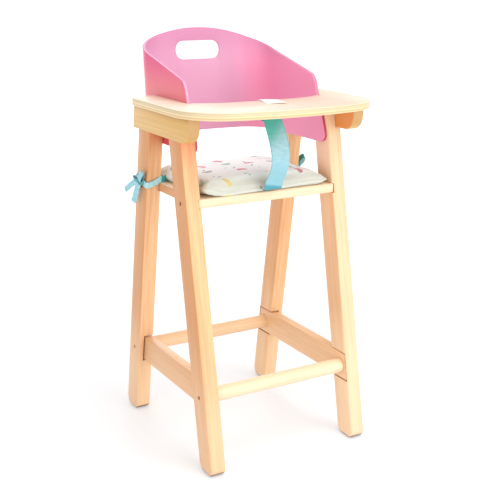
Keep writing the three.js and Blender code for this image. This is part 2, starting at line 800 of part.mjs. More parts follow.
for (const [sideName, side] of [['right', 1], ['left', -1]]) {
  const sideFrame = new THREE.Group();
  addPiece(sideFrame, `front_leg_${sideName}`, geometryOf(legSolid(true, side)), beech);
  addPiece(sideFrame, `rear_leg_${sideName}`, geometryOf(legSolid(false, side)), beech);
  addPiece(sideFrame, `side_rail_${sideName}`, geometryOf(railSolid(side)), beech);
  addPiece(sideFrame, `tray_bracket_${sideName}`, geometryOf(bracketSolid(side)), beech);
  for (const screw of screwsOfSide(side)) {
    addPiece(sideFrame, `${screw.name}_${sideName}`, welded(screwGeometry(screw)), zincSteel);
  }
  addPiece(sideFrame, `tie_band_${sideName}`, tieBandSolid(side), tealWebbing);
  addPiece(sideFrame, `tie_bow_${sideName}`, tieBowSolid(side), tealWebbing);
  chair.add(sideFrame);
}

const middle = new THREE.Group();
addPiece(middle, 'front_stretcher', geometryOf(stretcherSolid(frontLegCentre(stretcherCentre))), beech);
addPiece(middle, 'rear_stretcher', geometryOf(stretcherSolid(rearLegCentre(stretcherCentre))), beech);
addPiece(middle, 'seat_board', geometryOf(seatBoardSolid()), beech);
addPiece(middle, 'tray', geometryOf(traySolid()), plywood);
addPiece(middle, 'backrest_shell', geometryOf(shellSolid()), pinkLacquer);
addPiece(middle, 'seat_cushion', cushionGeometry(), printedCotton);
addPiece(middle, 'crotch_strap', strapGeometry(), tealWebbing);
addPiece(middle, 'strap_tape', tapeGeometry(), whiteTape);
chair.add(middle);

export default chair;
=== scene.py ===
# %% [markdown]
# # A doll's high chair in light wood
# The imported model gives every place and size. This script dresses it: wooden boards with grain, a
# bent and lacquered back, a padded cushion, webbing and ribbon. Lengths are written in millimetres
# and multiplied by `MM`, because Blender works in metres here.

import math
import random

import bmesh
import bpy
import numpy as np
from mathutils import Matrix, Vector, noise


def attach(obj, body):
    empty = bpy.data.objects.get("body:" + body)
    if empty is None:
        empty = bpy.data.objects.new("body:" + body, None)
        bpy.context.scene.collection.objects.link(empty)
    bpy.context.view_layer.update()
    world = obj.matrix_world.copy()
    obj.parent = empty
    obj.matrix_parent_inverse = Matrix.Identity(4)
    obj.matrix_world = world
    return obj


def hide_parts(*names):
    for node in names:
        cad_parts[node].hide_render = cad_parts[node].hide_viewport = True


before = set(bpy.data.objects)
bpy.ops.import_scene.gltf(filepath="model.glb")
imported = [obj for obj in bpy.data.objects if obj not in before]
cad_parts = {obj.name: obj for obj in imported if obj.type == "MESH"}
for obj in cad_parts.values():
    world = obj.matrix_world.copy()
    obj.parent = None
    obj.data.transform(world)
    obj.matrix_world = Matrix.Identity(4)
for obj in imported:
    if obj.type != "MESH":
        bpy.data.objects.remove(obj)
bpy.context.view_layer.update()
MM = 0.001

# %% [markdown]
# ## Camera
# The camera stands where the photograph was taken from: in front of the chair, to its left and a
# little above the tray. It could be aimed with a Track To constraint, but that leaves no roll. So its
# three directions are computed from a yaw towards +X, a downward pitch and a small roll, and they
# become the columns of its matrix.

# %% Camera
YAW, PITCH, ROLL = 0.5346, -0.28326, 0.01
CAMERA_PLACE = (-0.654228, -1.125043, 0.638417)
LENS, SENSOR = 69.375, 36


def link(name, data):
    """Makes an object for a mesh, lamp or camera and puts it into the scene."""
    obj = bpy.data.objects.new(name, data)
    bpy.context.collection.objects.link(obj)
    return obj


forward = Vector((math.sin(YAW) * math.cos(PITCH), math.cos(YAW) * math.cos(PITCH), math.sin(PITCH)))
level = Vector((math.cos(YAW), -math.sin(YAW), 0))
upright = level.cross(forward)
right = level * math.cos(ROLL) + upright * math.sin(ROLL)
up = upright * math.cos(ROLL) - level * math.sin(ROLL)

camera = link("camera", bpy.data.cameras.new("camera"))
camera.data.lens = LENS
camera.data.sensor_width = SENSOR
camera.matrix_world = Matrix([*zip(right, up, -forward, CAMERA_PLACE), (0, 0, 0, 1)])
bpy.context.scene.camera = camera
print("Camera looks along", [round(v, 3) for v in forward])

# %% [markdown]
# ## Sizes taken from the chair
# The solids and this script share these sizes. The legs slant, so the place of a leg's face depends
# on the height, and small functions give it.

# %% Sizes
SIDES = ((1, "right"), (-1, "left"))
ENDS = ("front", "rear")
LEG_OUT, LEG_IN, LEG_DEEP = 123.0, 101.5, 34.0
FOOT_REACH, FRONT_SLANT, REAR_SLANT = 137.0, 90.0, 70.0
TRAY_UNDER, TRAY_TOP = 465.0, 475.0
SEAT_LOW, SEAT_TOP = 345.0, 357.5
RAIL_LOW, RAIL_TOP, RAIL_THICK = 84.0, 121.0, 13.0
STRETCHER_Z = (RAIL_LOW + RAIL_TOP) / 2 - 1.2
STRETCHER_R = 10.0
BRACKET_IN, BRACKET_OUT, BRACKET_LOW = 115.0, 131.5, 432.4
SHELL_LOW, SHELL_HIGH = 412.0, 558.0
GAP, JOINT = 0.3, 1.7


def front_leg(z):
    """Y of the front legs' front face at height z."""
    return -FOOT_REACH + FRONT_SLANT * z / TRAY_UNDER


def rear_leg(z):
    """Y of the rear legs' rear face at height z."""
    return FOOT_REACH - REAR_SLANT * z / TRAY_UNDER


def leg_face(end, z):
    """Y of the front face of a front or rear leg at height z."""
    return front_leg(z) if end == "front" else rear_leg(z) - LEG_DEEP


def leg_middle(end, z):
    """Y of the middle of a front or rear leg at height z."""
    return front_leg(z) + LEG_DEEP / 2 if end == "front" else rear_leg(z) - LEG_DEEP / 2


print("Front leg leans", round(math.degrees(math.atan(FRONT_SLANT / TRAY_UNDER)), 1), "degrees")

# %% [markdown]
# ## Small helpers for shader nodes
# Materials could be clicked together in the Shader Editor, but then nobody could read why a number is
# what it is. Here a formula is a line of code. A socket takes either another node's output or a plain
# value, and each helper makes one node.

# %% Node helpers


def feed(tree, socket, value):
    """Links an output to a socket, or writes a plain value into it."""
    if isinstance(value, bpy.types.NodeSocket):
        tree.links.new(value, socket)
    else:
        socket.default_value = value


def add_node(tree, kind, values=None, **settings):
    """Adds a node, sets its options and feeds its named or numbered inputs."""
    node = tree.nodes.new(kind)
    for key, value in settings.items():
        setattr(node, key, value)
    for key, value in (values or {}).items():
        feed(tree, node.inputs[key], value)
    return node


def calc(tree, operation, *values):
    """One math node; returns its output."""
    return add_node(tree, "ShaderNodeMath", dict(enumerate(values)), operation=operation).outputs[0]


def plus(tree, first, second):
    return calc(tree, "ADD", first, second)


def minus(tree, first, second):
    return calc(tree, "SUBTRACT", first, second)


def times(tree, first, second):
    return calc(tree, "MULTIPLY", first, second)


def divided(tree, first, second):
    return calc(tree, "DIVIDE", first, second)


def size_of(tree, value):
    return calc(tree, "ABSOLUTE", value)


def split(tree, vector):
    return add_node(tree, "ShaderNodeSeparateXYZ", {0: vector}).outputs


def read_attribute(tree, name):
    return add_node(tree, "ShaderNodeAttribute", attribute_name=name).outputs["Vector"]


def geometry(tree, kind):
    """The Position or Normal of the surface."""
    return add_node(tree, "ShaderNodeNewGeometry").outputs[kind]


print("Node helpers ready")

# %% Vector helpers


def vector_calc(tree, operation, *values, output="Vector", **named):
    """One vector math node; returns its output."""
    inputs = {**dict(enumerate(values)), **named}
    return add_node(tree, "ShaderNodeVectorMath", inputs, operation=operation).outputs[output]


def scaled(tree, vector, factors):
    """A vector with each of its parts multiplied by its own number."""
    return vector_calc(tree, "MULTIPLY", vector, factors)


def flat_vector(tree, x, y):
    return add_node(tree, "ShaderNodeCombineXYZ", {0: x, 1: y}).outputs[0]


def turned(tree, vector, angle):
    """A vector turned about Z."""
    values = {"Vector": vector, "Angle": angle}
    return add_node(tree, "ShaderNodeVectorRotate", values, rotation_type="Z_AXIS").outputs[0]


def chance_of(tree, cell):
    """A random value and a random colour that belong to a cell."""
    return add_node(tree, "ShaderNodeTexWhiteNoise", {"Vector": cell}, noise_dimensions="3D").outputs


print("Vector helpers ready")

# %% Pattern and colour helpers


def noise_of(tree, vector, factors, detail=2.0, roughness=0.5):
    """Noise with the given number of waves per metre along each direction."""
    values = {"Vector": scaled(tree, vector, factors), "Scale": 1.0, "Detail": detail, "Roughness": roughness}
    return add_node(tree, "ShaderNodeTexNoise", values).outputs["Fac"]


def ramp(tree, value, low, high, out_low=0.0, out_high=1.0):
    """Maps low..high to out_low..out_high with smooth ends."""
    values = {0: value, 1: low, 2: high, 3: out_low, 4: out_high}
    return add_node(tree, "ShaderNodeMapRange", values, interpolation_type="SMOOTHSTEP").outputs[0]


def blend_colour(tree, factor, first, second):
    """Mixes two colours; a factor of 1 gives the second."""
    node = add_node(tree, "ShaderNodeMix", data_type="RGBA")
    for socket, value in ((node.inputs[0], factor), (node.inputs[6], first), (node.inputs[7], second)):
        feed(tree, socket, value)
    return node.outputs[2]


def srgb(red, green, blue):
    """A colour as a screen shows it, 0 to 255, turned into the linear values that shaders use."""
    shares = [v / 255 for v in (red, green, blue)]
    return (*[v / 12.92 if v <= 0.04045 else ((v + 0.055) / 1.055) ** 2.4 for v in shares], 1.0)


def pick_colour(tree, value, stops, interpolation="LINEAR"):
    """A colour ramp with (position, (red, green, blue)) as its stops."""
    node = add_node(tree, "ShaderNodeValToRGB", {0: value})
    node.color_ramp.interpolation = interpolation
    elements = node.color_ramp.elements
    while len(elements) < len(stops):
        elements.new(1.0)
    for element, (position, colour) in zip(elements, stops):
        element.position, element.color = position, srgb(*colour)
    return node.outputs[0]


print("Pattern and colour helpers ready")

# %% Group and material helpers


def shader_group(name, inputs, outputs):
    """An empty group with named sockets; returns it with its inner inputs and outputs. An input's
    default tells its kind: 0.0 a value, 0 a vector and four numbers a colour."""
    group = bpy.data.node_groups.new(name, "ShaderNodeTree")
    for label, default in inputs:
        kind = {float: "NodeSocketFloat", int: "NodeSocketVector"}.get(type(default), "NodeSocketColor")
        socket = group.interface.new_socket(name=label, in_out="INPUT", socket_type=kind)
        if kind != "NodeSocketVector":
            socket.default_value = default
    for label in outputs:
        kind = "NodeSocketColor" if label == "Colour" else "NodeSocketFloat"
        group.interface.new_socket(name=label, in_out="OUTPUT", socket_type=kind)
    return group, group.nodes.new("NodeGroupInput").outputs, group.nodes.new("NodeGroupOutput").inputs


def set_inputs(tree, node, values):
    """Feeds named inputs; an underscore stands for a space in the name."""
    for key, value in values.items():
        feed(tree, node.inputs[key.replace("_", " ")], value)


def use_group(tree, group, **values):
    node = add_node(tree, "ShaderNodeGroup", node_tree=group)
    set_inputs(tree, node, values)
    return node.outputs


def new_material(name, **values):
    """A Principled material; values that are the same all over go straight onto its sockets."""
    material = bpy.data.materials.new(name)
    material.use_nodes = True
    shader = material.node_tree.nodes["Principled BSDF"]
    set_inputs(material.node_tree, shader, values)
    return material, material.node_tree, shader.inputs


def bump(tree, shader, height, depth_mm, strength):
    """Feeds a height of 0 to 1 into the normal, as a relief that is depth_mm deep."""
    values = {"Height": height, "Distance": depth_mm * MM, "Strength": strength}
    feed(tree, shader["Normal"], add_node(tree, "ShaderNodeBump", values).outputs[0])


print("Group and material helpers ready")

# %% [markdown]
# ## Wood
# The frame is solid wood. A picture of wood wrapped round a board would not meet at its corners, so
# this is a solid texture: each piece carries its own coordinates in the attribute `grain`. X runs
# along the fibres, and Y and Z across them, measured from the tree's middle. Rings are circles round
# that middle, so end grain appears by itself wherever a board is cut across.

# %% Wood group
tree, given, result = shader_group(
    "Solid wood",
    [("Grain", 0), ("Pale", (0.8, 0.6, 0.4, 1)), ("Dark", (0.6, 0.4, 0.2, 1)), ("Ring width", 0.004),
     ("Contrast", 0.5), ("Tone", 0.0), ("Pale plank", (0.9, 0.8, 0.6, 1))],
    ["Colour", "Roughness", "Height"],
)
wood_group, grain = tree, given["Grain"]
# Waves per metre along the fibres, and twice across them
DRIFTS, PATCHES, STREAKS = (7, 45, 45), (5, 30, 30), (9, 260, 260)
FIBRES, FLECKS = (60, 2400, 2400), (260, 1500, 1500)
RING_DRIFT = 0.014

drift = noise_of(tree, grain, DRIFTS, 2.0)
_, ring_y, ring_z = split(tree, grain)
reach = calc(tree, "SQRT", plus(tree, times(tree, ring_y, ring_y), times(tree, ring_z, ring_z)))
reach = plus(tree, reach, times(tree, drift, RING_DRIFT))
late_wood = calc(tree, "POWER", calc(tree, "FRACT", divided(tree, reach, given["Ring width"])), 2.5)
streak = noise_of(tree, grain, STREAKS, 3.0, 0.6)
fibre = noise_of(tree, grain, FIBRES, 2.0, 0.7)
patch = noise_of(tree, grain, PATCHES, 1.0)
fleck_inputs = {"Vector": scaled(tree, grain, FLECKS), "Scale": 1.0, "Randomness": 1.0}
fleck_distance = add_node(tree, "ShaderNodeTexVoronoi", fleck_inputs, feature="F1").outputs["Distance"]
fleck = ramp(tree, fleck_distance, 0.28, 0.12)

mixed = times(tree, late_wood, 0.22)
for mark, share in ((ramp(tree, streak, 0.35, 0.7), 0.5), (fibre, 0.2), (ramp(tree, patch, 0.35, 0.7), 0.4)):
    mixed = plus(tree, mixed, times(tree, mark, share))
mixed = plus(tree, times(tree, mixed, given["Contrast"]), times(tree, fleck, 0.16))
board_colour = blend_colour(tree, mixed, given["Pale"], given["Dark"])
plank = times(tree, given["Tone"], calc(tree, "MULTIPLY_ADD", mixed, -0.35, 1.0))
feed(tree, result["Colour"], blend_colour(tree, plank, board_colour, given["Pale plank"]))
feed(tree, result["Roughness"], ramp(tree, streak, 0.2, 0.8, 0.36, 0.52))
feed(tree, result["Height"], minus(tree, fibre, times(tree, fleck, 0.6)))
print("Wood group:", len(wood_group.nodes), "nodes")

# %% [markdown]
# ## Beech
# The legs, rails, seat and stretchers are pale reddish wood under a thin satin varnish, and the tray
# brackets are more mustard. No two boards have the same tone, so the tone is an attribute of each
# piece. Light and shade are painted into the wood as well: painted shade on faces that turn to the
# left, below the left bracket, under the tray and on the soles, and painted light near the floor and
# where the pink shell reflects onto the right legs. Those tints depend only on the place on the chair
# and the way a face turns, so they stay put from every side.

# %% Tinted wood
RING_WIDTH = 0.004
# Painted shade on the feet's undersides that face down.
SOLE_SHADE = srgb(120, 70, 36)


def make_wood(name, pale, dark, plank, contrast=0.6, ends=None, sides=None, low=None, top=None, glow=None):
    """A board's material, with these tints where they are given:
    ends   the colour of end grain, for a board that runs from front to back;
    sides  the colour of painted shade on faces that turn to the left, its strength on the chair's left
           and right half, and the height in metres at which it fades on the right;
    low    the colour of painted light near the floor, above soles in painted shade;
    top    the colour and the lowest height of painted shade under the tray;
    glow   the colours of painted shade below the left bracket and of painted light reflected from the
           shell beside it."""
    material, tree, shader = new_material(name, Coat_Weight=0.2, Coat_Roughness=0.3)
    tone = split(tree, read_attribute(tree, "tone"))[0]
    made = use_group(tree, wood_group, Grain=read_attribute(tree, "grain"), Pale=pale, Dark=dark,
                     Ring_width=RING_WIDTH, Contrast=contrast, Tone=tone, Pale_plank=plank)
    colour = made["Colour"]
    across, _, height = split(tree, geometry(tree, "Position"))
    normal_x, normal_y, normal_z = split(tree, geometry(tree, "Normal"))
    on_left = calc(tree, "LESS_THAN", across, 0.0)
    on_right = calc(tree, "GREATER_THAN", across, 0.0)
    leftward = ramp(tree, normal_x, -0.6, -0.85)
    # Painted shade: faces that turn to the left are darkened, more on the chair's left half.
    if sides:
        leftward_shade, left, right, fade = sides
        left_share = ramp(tree, height, 0.05, 0.2, 0.4 * left, left)
        right_share = ramp(tree, height, fade, fade - 0.05, 0.0, right)
        right_share = times(tree, right_share, ramp(tree, height, 0.13, 0.2))
        share = blend_colour(tree, on_right, left_share, right_share)
        colour = blend_colour(tree, times(tree, leftward, share), colour, leftward_shade)
    # Painted shade on the wood below the left bracket, and painted light reflected from the pink shell on
    # faces to the left on the right side.
    if glow:
        bracket_shade, shell_reflection = glow
        share = times(tree, on_left, ramp(tree, height, 0.39, 0.434, 0.0, 0.5))
        share = times(tree, share, minus(tree, 1.0, leftward))
        colour = blend_colour(tree, share, colour, bracket_shade)
        share = times(tree, on_right, ramp(tree, height, 0.35, 0.39, 0.0, 0.8))
        colour = blend_colour(tree, times(tree, share, leftward), colour, shell_reflection)
    # Painted light: paler wood near the floor; and painted shade on the soles that face down.
    if low:
        colour = blend_colour(tree, ramp(tree, height, 0.22, 0.03, 0.0, 0.35), colour, low)
        sole_shade = times(tree, ramp(tree, normal_z, -0.3, -0.62), ramp(tree, height, 0.012, 0.008))
        colour = blend_colour(tree, sole_shade, colour, SOLE_SHADE)
    # Painted shade: the top of the board darkens under the tray.
    if top:
        tray_shade, start = top
        colour = blend_colour(tree, ramp(tree, height, start, 0.4645, 0.0, 0.7), colour, tray_shade)
    if ends:
        colour = blend_colour(tree, ramp(tree, size_of(tree, normal_y), 0.55, 0.85, 0.0, 0.85), colour, ends)
    feed(tree, shader["Base Color"], colour)
    feed(tree, shader["Roughness"], made["Roughness"])
    bump(tree, shader, made["Height"], 0.05, 0.5)
    return material


print("Rings are", RING_WIDTH / MM, "mm wide")

# %% Beech and mustard beech
# Painted shade on faces to the left and below the left bracket, painted light near the floor and from the
# shell.
beech = make_wood(
    "beech", srgb(238, 186, 130), srgb(200, 126, 66), srgb(246, 230, 200),
    sides=(srgb(198, 126, 58), 0.7, 0.32, 0.41), low=srgb(250, 220, 182),
    glow=(srgb(226, 116, 52), srgb(255, 214, 178)),
)
# Painted shade: orange on the right bracket's face to the left, and darker under the tray.
mustard_beech = make_wood(
    "beech_bracket", srgb(216, 174, 98), srgb(194, 142, 66), srgb(246, 232, 202), contrast=0.4,
    ends=srgb(192, 148, 94), sides=(srgb(240, 124, 44), 0.0, 0.55, 0.6),
    top=(srgb(168, 122, 58), 0.4555),
)
print("Made", beech.name, "and", mustard_beech.name)

# %% [markdown]
# ## Plywood
# The tray's edge shows its veneers: thin layers that run one way and the other, so that every second
# one shows end grain and looks darker. Modelling each layer would need many thin boards, so the
# height within the sheet picks a colour from a ramp instead.

# %% Veneer layers
VENEERS = [
    (0.0, (224, 192, 142)), (0.12, (230, 204, 158)), (0.22, (210, 178, 130)), (0.3, (206, 176, 128)),
    (0.38, (236, 208, 158)), (0.48, (234, 208, 162)), (0.54, (202, 179, 139)), (0.64, (214, 195, 158)),
    (0.76, (210, 192, 154)), (0.84, (195, 172, 134)), (0.9, (217, 196, 158)), (1.0, (236, 220, 188)),
]
tree, given, result = shader_group("Veneer layers", [("Share", 0.0), ("Grain", 0)], ["Colour", "Height"])
layer_group = tree
wander = noise_of(tree, given["Grain"], (60, 60, 60), 2.0)
share = plus(tree, given["Share"], times(tree, minus(tree, wander, 0.5), 0.05))
feed(tree, result["Colour"], pick_colour(tree, share, VENEERS))
feed(tree, result["Height"], calc(tree, "PINGPONG", share, 0.2))
print("Veneer stops:", len(VENEERS))

# %% Plywood
plywood, tree, shader = new_material("plywood", Coat_Weight=0.15, Coat_Roughness=0.22)
grain = read_attribute(tree, "grain")
ply_x, _, ply_z = split(tree, geometry(tree, "Position"))
# Painted light: the sheet is paler towards its left and right ends.
sheet = blend_colour(tree, ramp(tree, ply_x, -0.13, 0.06), srgb(244, 226, 208), srgb(228, 204, 184))
sheet = blend_colour(tree, ramp(tree, ply_x, 0.08, 0.135), sheet, srgb(238, 232, 212))
face = use_group(tree, wood_group, Grain=grain, Pale=sheet, Dark=srgb(222, 186, 146), Ring_width=0.016,
                 Contrast=0.45)
share = divided(tree, minus(tree, ply_z, TRAY_UNDER * MM), (TRAY_TOP - TRAY_UNDER) * MM)
layers = use_group(tree, layer_group, Share=share, Grain=grain)
is_edge = ramp(tree, size_of(tree, split(tree, geometry(tree, "Normal"))[2]), 0.9, 0.7)
feed(tree, shader["Base Color"], blend_colour(tree, is_edge, face["Colour"], layers["Colour"]))
feed(tree, shader["Roughness"], face["Roughness"])
bump(tree, shader, plus(tree, face["Height"], times(tree, layers["Height"], is_edge)), 0.04, 0.5)
print("Made", plywood.name)

# %% [markdown]
# ## Pink lacquer
# The shell is bent plywood under thin pink lacquer. Its inside looks paler than its outside, and its
# edge shows faint veneers. The attribute `through` tells these apart: it runs from -1 on the inside
# to 1 on the outside. Two materials could be assigned face by face, but then the rounded edge would
# have a hard border.

# %% Pink lacquer
lacquer, tree, shader = new_material("pink_lacquer", Coat_Weight=0.2, Coat_Roughness=0.4)
side_sign = split(tree, read_attribute(tree, "through"))[0]
through = size_of(tree, side_sign)
grain = read_attribute(tree, "grain")
cloudy = noise_of(tree, grain, (18, 18, 18), 3.0)
print_through = noise_of(tree, grain, (300, 12, 300), 2.0)
shell_x, shell_y, shell_z = split(tree, geometry(tree, "Position"))
# Painted shade and light: the inside is darker on the left and towards the top, paler on the right.
inner_pink = blend_colour(tree, ramp(tree, shell_x, 0.05, 0.098), srgb(209, 146, 176), srgb(246, 149, 184))
inner_pink = blend_colour(tree, ramp(tree, shell_z, 0.505, 0.555, 0.0, 0.8), inner_pink, srgb(194, 118, 154))
outer_pink = blend_colour(tree, ramp(tree, cloudy, 0.3, 0.7), srgb(220, 82, 130), srgb(216, 76, 122))
# Painted reflection: the outside turns coral towards the bottom, as if lit by the warm wood below.
outer_pink = blend_colour(tree, ramp(tree, shell_z, 0.525, 0.48), outer_pink, srgb(228, 118, 130))
# Painted shadow of the tray: the outside and the rim darken below the tray, towards the front.
tray_shadow = times(tree, ramp(tree, shell_z, 0.4665, 0.4635), ramp(tree, shell_y, 0.055, 0.035))
outer_pink = blend_colour(tree, tray_shadow, outer_pink, srgb(206, 66, 82))
pink = blend_colour(tree, calc(tree, "GREATER_THAN", side_sign, 0.0), inner_pink, outer_pink)
rim_layers = ramp(tree, size_of(tree, minus(tree, through, 0.42)), 0.1, 0.02)
rim = blend_colour(tree, times(tree, rim_layers, 0.4), srgb(234, 158, 188), srgb(220, 130, 164))
# Painted shade: the rim is darker on the right wing.
rim = blend_colour(tree, ramp(tree, shell_x, 0.02, 0.09), rim, srgb(206, 118, 150))
rim = blend_colour(tree, tray_shadow, rim, srgb(182, 52, 84))
feed(tree, shader["Base Color"], blend_colour(tree, ramp(tree, through, 0.78, 0.6), pink, rim))
feed(tree, shader["Roughness"], ramp(tree, cloudy, 0.2, 0.8, 0.42, 0.52))
bump(tree, shader, plus(tree, cloudy, times(tree, print_through, 0.4)), 0.05, 0.35)
print("Made", lacquer.name)

# %% [markdown]
# ## Cloth
# The cushion's cotton has a plain weave and a scattered print. The print could be a picture, but a
# pattern made of nodes stays sharp at any size. It lays a grid over the cloth and puts at most one
# motif in each cell, moved and turned by a number that belongs to that cell, so nothing lines up.
# Webbing and ribbon have ribs across their length.

# %% Weave group
tree, given, result = shader_group("Plain weave", [("Cloth", 0), ("Pitch", 0.0006)], ["Height"])
weave_group = tree
threads = vector_calc(tree, "SCALE", given["Cloth"], Scale=divided(tree, math.tau, given["Pitch"]))
warp, weft, _ = split(tree, threads)
waves = times(tree, calc(tree, "SINE", warp), calc(tree, "SINE", weft))
feed(tree, result["Height"], calc(tree, "MULTIPLY_ADD", waves, 0.5, 0.5))
print("Made", weave_group.name)

# %% Motif group
HALF = (0.5, 0.5, 0)
tree, given, result = shader_group(
    "Scattered motifs",
    [("Cloth", 0), ("Cell", 0.03), ("Size", 0.008), ("Seed", 1.0), ("Sprouts", 0.5), ("Dashes", 0.3)],
    ["Mask", "Pick"],
)
motif_group = tree
grid = vector_calc(tree, "SCALE", given["Cloth"], Scale=divided(tree, 1.0, given["Cell"]))
grid = vector_calc(tree, "ADD", grid, flat_vector(tree, given["Seed"], times(tree, given["Seed"], 1.7)))
grid = scaled(tree, grid, (1, 1, 0))
cell = vector_calc(tree, "FLOOR", grid)
chance = chance_of(tree, cell)
second_chance = chance_of(tree, vector_calc(tree, "ADD", cell, (17.3, 5.1, 2.7)))
jitter = scaled(tree, vector_calc(tree, "SUBTRACT", chance["Color"], (0.5, 0.5, 0.5)), HALF)
inner = vector_calc(tree, "SUBTRACT", vector_calc(tree, "FRACTION", grid), HALF)
inner = vector_calc(tree, "SUBTRACT", inner, jitter)
inner = vector_calc(tree, "SCALE", inner, Scale=divided(tree, given["Cell"], given["Size"]))
motif = turned(tree, inner, times(tree, second_chance["Value"], math.tau))
motif_x, motif_y, _ = split(tree, motif)

# A sprout is two leaves that spring from one point, mirrored by the absolute value of X
leaf = turned(tree, flat_vector(tree, size_of(tree, motif_x), plus(tree, motif_y, 0.28)), -0.95)
leaf_along, leaf_across, _ = split(tree, leaf)
leaf_part = divided(tree, minus(tree, leaf_along, 0.3), 0.3)
leaf_edge = times(tree, minus(tree, 1.0, times(tree, leaf_part, leaf_part)), 0.42)
sprout = ramp(tree, minus(tree, leaf_edge, size_of(tree, leaf_across)), -0.02, 0.03)

# A dash is a long ellipse, bent into a slight arc, and a dot is a circle
dash_x = divided(tree, motif_x, 0.55)
dash_y = divided(tree, minus(tree, motif_y, times(tree, times(tree, motif_x, motif_x), 0.5)), 0.13)
dash = ramp(tree, plus(tree, times(tree, dash_x, dash_x), times(tree, dash_y, dash_y)), 1.15, 0.85)
dot = ramp(tree, vector_calc(tree, "LENGTH", motif, output="Value"), 0.25, 0.21)

# Each cell's chance says which of the three it gets, if any
kind = chance["Value"]
is_sprout = calc(tree, "LESS_THAN", kind, given["Sprouts"])
is_dash = calc(tree, "LESS_THAN", kind, plus(tree, given["Sprouts"], given["Dashes"]))
is_dash = minus(tree, is_dash, is_sprout)
is_dot = minus(tree, 1.0, plus(tree, is_sprout, is_dash))
is_dot = times(tree, is_dot, calc(tree, "LESS_THAN", kind, 0.88))
mask = plus(tree, times(tree, sprout, is_sprout), times(tree, dash, is_dash))
feed(tree, result["Mask"], plus(tree, mask, times(tree, dot, is_dot)))
feed(tree, result["Pick"], split(tree, second_chance["Color"])[1])
print("Made", motif_group.name)

# %% Rib group
THREAD = 0.0005
tree, given, result = shader_group("Ribbed webbing", [("Cloth", 0), ("Rib", 0.0011)], ["Height", "Shade"])
rib_group = tree
along, across, _ = split(tree, given["Cloth"])
rib_wave = calc(tree, "SINE", times(tree, divided(tree, along, given["Rib"]), math.tau))
thread_wave = calc(tree, "SINE", times(tree, across, math.tau / THREAD))
rib_height = calc(tree, "MULTIPLY_ADD", rib_wave, 0.4, 0.5)
feed(tree, result["Height"], calc(tree, "MULTIPLY_ADD", thread_wave, 0.1, rib_height))
fuzz = noise_of(tree, given["Cloth"], (220, 90, 1), 3.0, 0.6)
# Shade mixes random fuzz in the yarn with painted shade in the grooves between the ribs.
feed(tree, result["Shade"], calc(tree, "MULTIPLY_ADD", fuzz, 0.7, times(tree, rib_height, 0.3)))
print("Made", rib_group.name)

# %% [markdown]
# ## Printed cotton
# The cushion's top is painted lighter, near white with a cool tint, and its side towards the seam is
# painted greyer and warmer: painted light on the top and painted shade on the side. Three layers of
# motifs lie over each other: large sprouts, middle-sized dashes and small dots. One layer could hold
# them all, but three grids of their own spacing look less regular.

# %% Printed cotton
INKS = [(212, 84, 112), (226, 120, 146), (128, 190, 156), (212, 84, 112), (222, 204, 110), (150, 160, 166)]
DASH_INKS = [(130, 140, 150), (150, 156, 160), (110, 160, 160), (220, 130, 150)]
DOT_INKS = [(110, 110, 115), (90, 180, 130), (120, 170, 190)]
cotton, tree, shader = new_material("printed_cotton", Sheen_Weight=0.3, Sheen_Roughness=0.5)
cloth = read_attribute(tree, "cloth")
patchy = noise_of(tree, cloth, (25, 25, 25), 3.0)
# Painted light on the top, and painted shade on the side towards the seam.
painted_light_top = blend_colour(tree, patchy, srgb(242, 255, 250), srgb(232, 250, 243))
painted_shade_side = blend_colour(tree, patchy, srgb(212, 214, 202), srgb(203, 207, 194))
from_seam = split(tree, read_attribute(tree, "seam"))[2]
colour = blend_colour(tree, ramp(tree, from_seam, 0.005, 0.02), painted_shade_side, painted_light_top)
for size, spacing, seed, sprouts, dashes, inks in (
    (0.0145, 0.036, 3.0, 0.8, 0.0, INKS),
    (0.0085, 0.037, 8.0, 0.0, 0.75, DASH_INKS),
    (0.0060, 0.041, 21.0, 0.0, 0.1, DOT_INKS),
):
    motifs = use_group(tree, motif_group, Cloth=cloth, Cell=spacing, Size=size, Seed=seed,
                       Sprouts=sprouts, Dashes=dashes)
    stops = [(index / len(inks), ink) for index, ink in enumerate(inks)]
    ink = pick_colour(tree, motifs["Pick"], stops, "CONSTANT")
    colour = blend_colour(tree, times(tree, motifs["Mask"], 0.88), colour, ink)
feed(tree, shader["Base Color"], colour)
weave = use_group(tree, weave_group, Cloth=cloth, Pitch=0.0007)["Height"]
feed(tree, shader["Roughness"], ramp(tree, weave, 0.0, 1.0, 0.82, 0.95))
bump(tree, shader, weave, 0.06, 0.5)
print("Made", cotton.name)

# %% [markdown]
# ## Webbing, ribbon and tape
# All three are narrow bands woven with ribs across, so one function makes them, with their own rib
# width and colours. A band's attribute `cloth` holds the distance along it, the distance from its
# middle and the side, which is enough to dye its selvedges and to paint shade on its start, its hem and
# its reverse.

# %% Webbing and ribbon


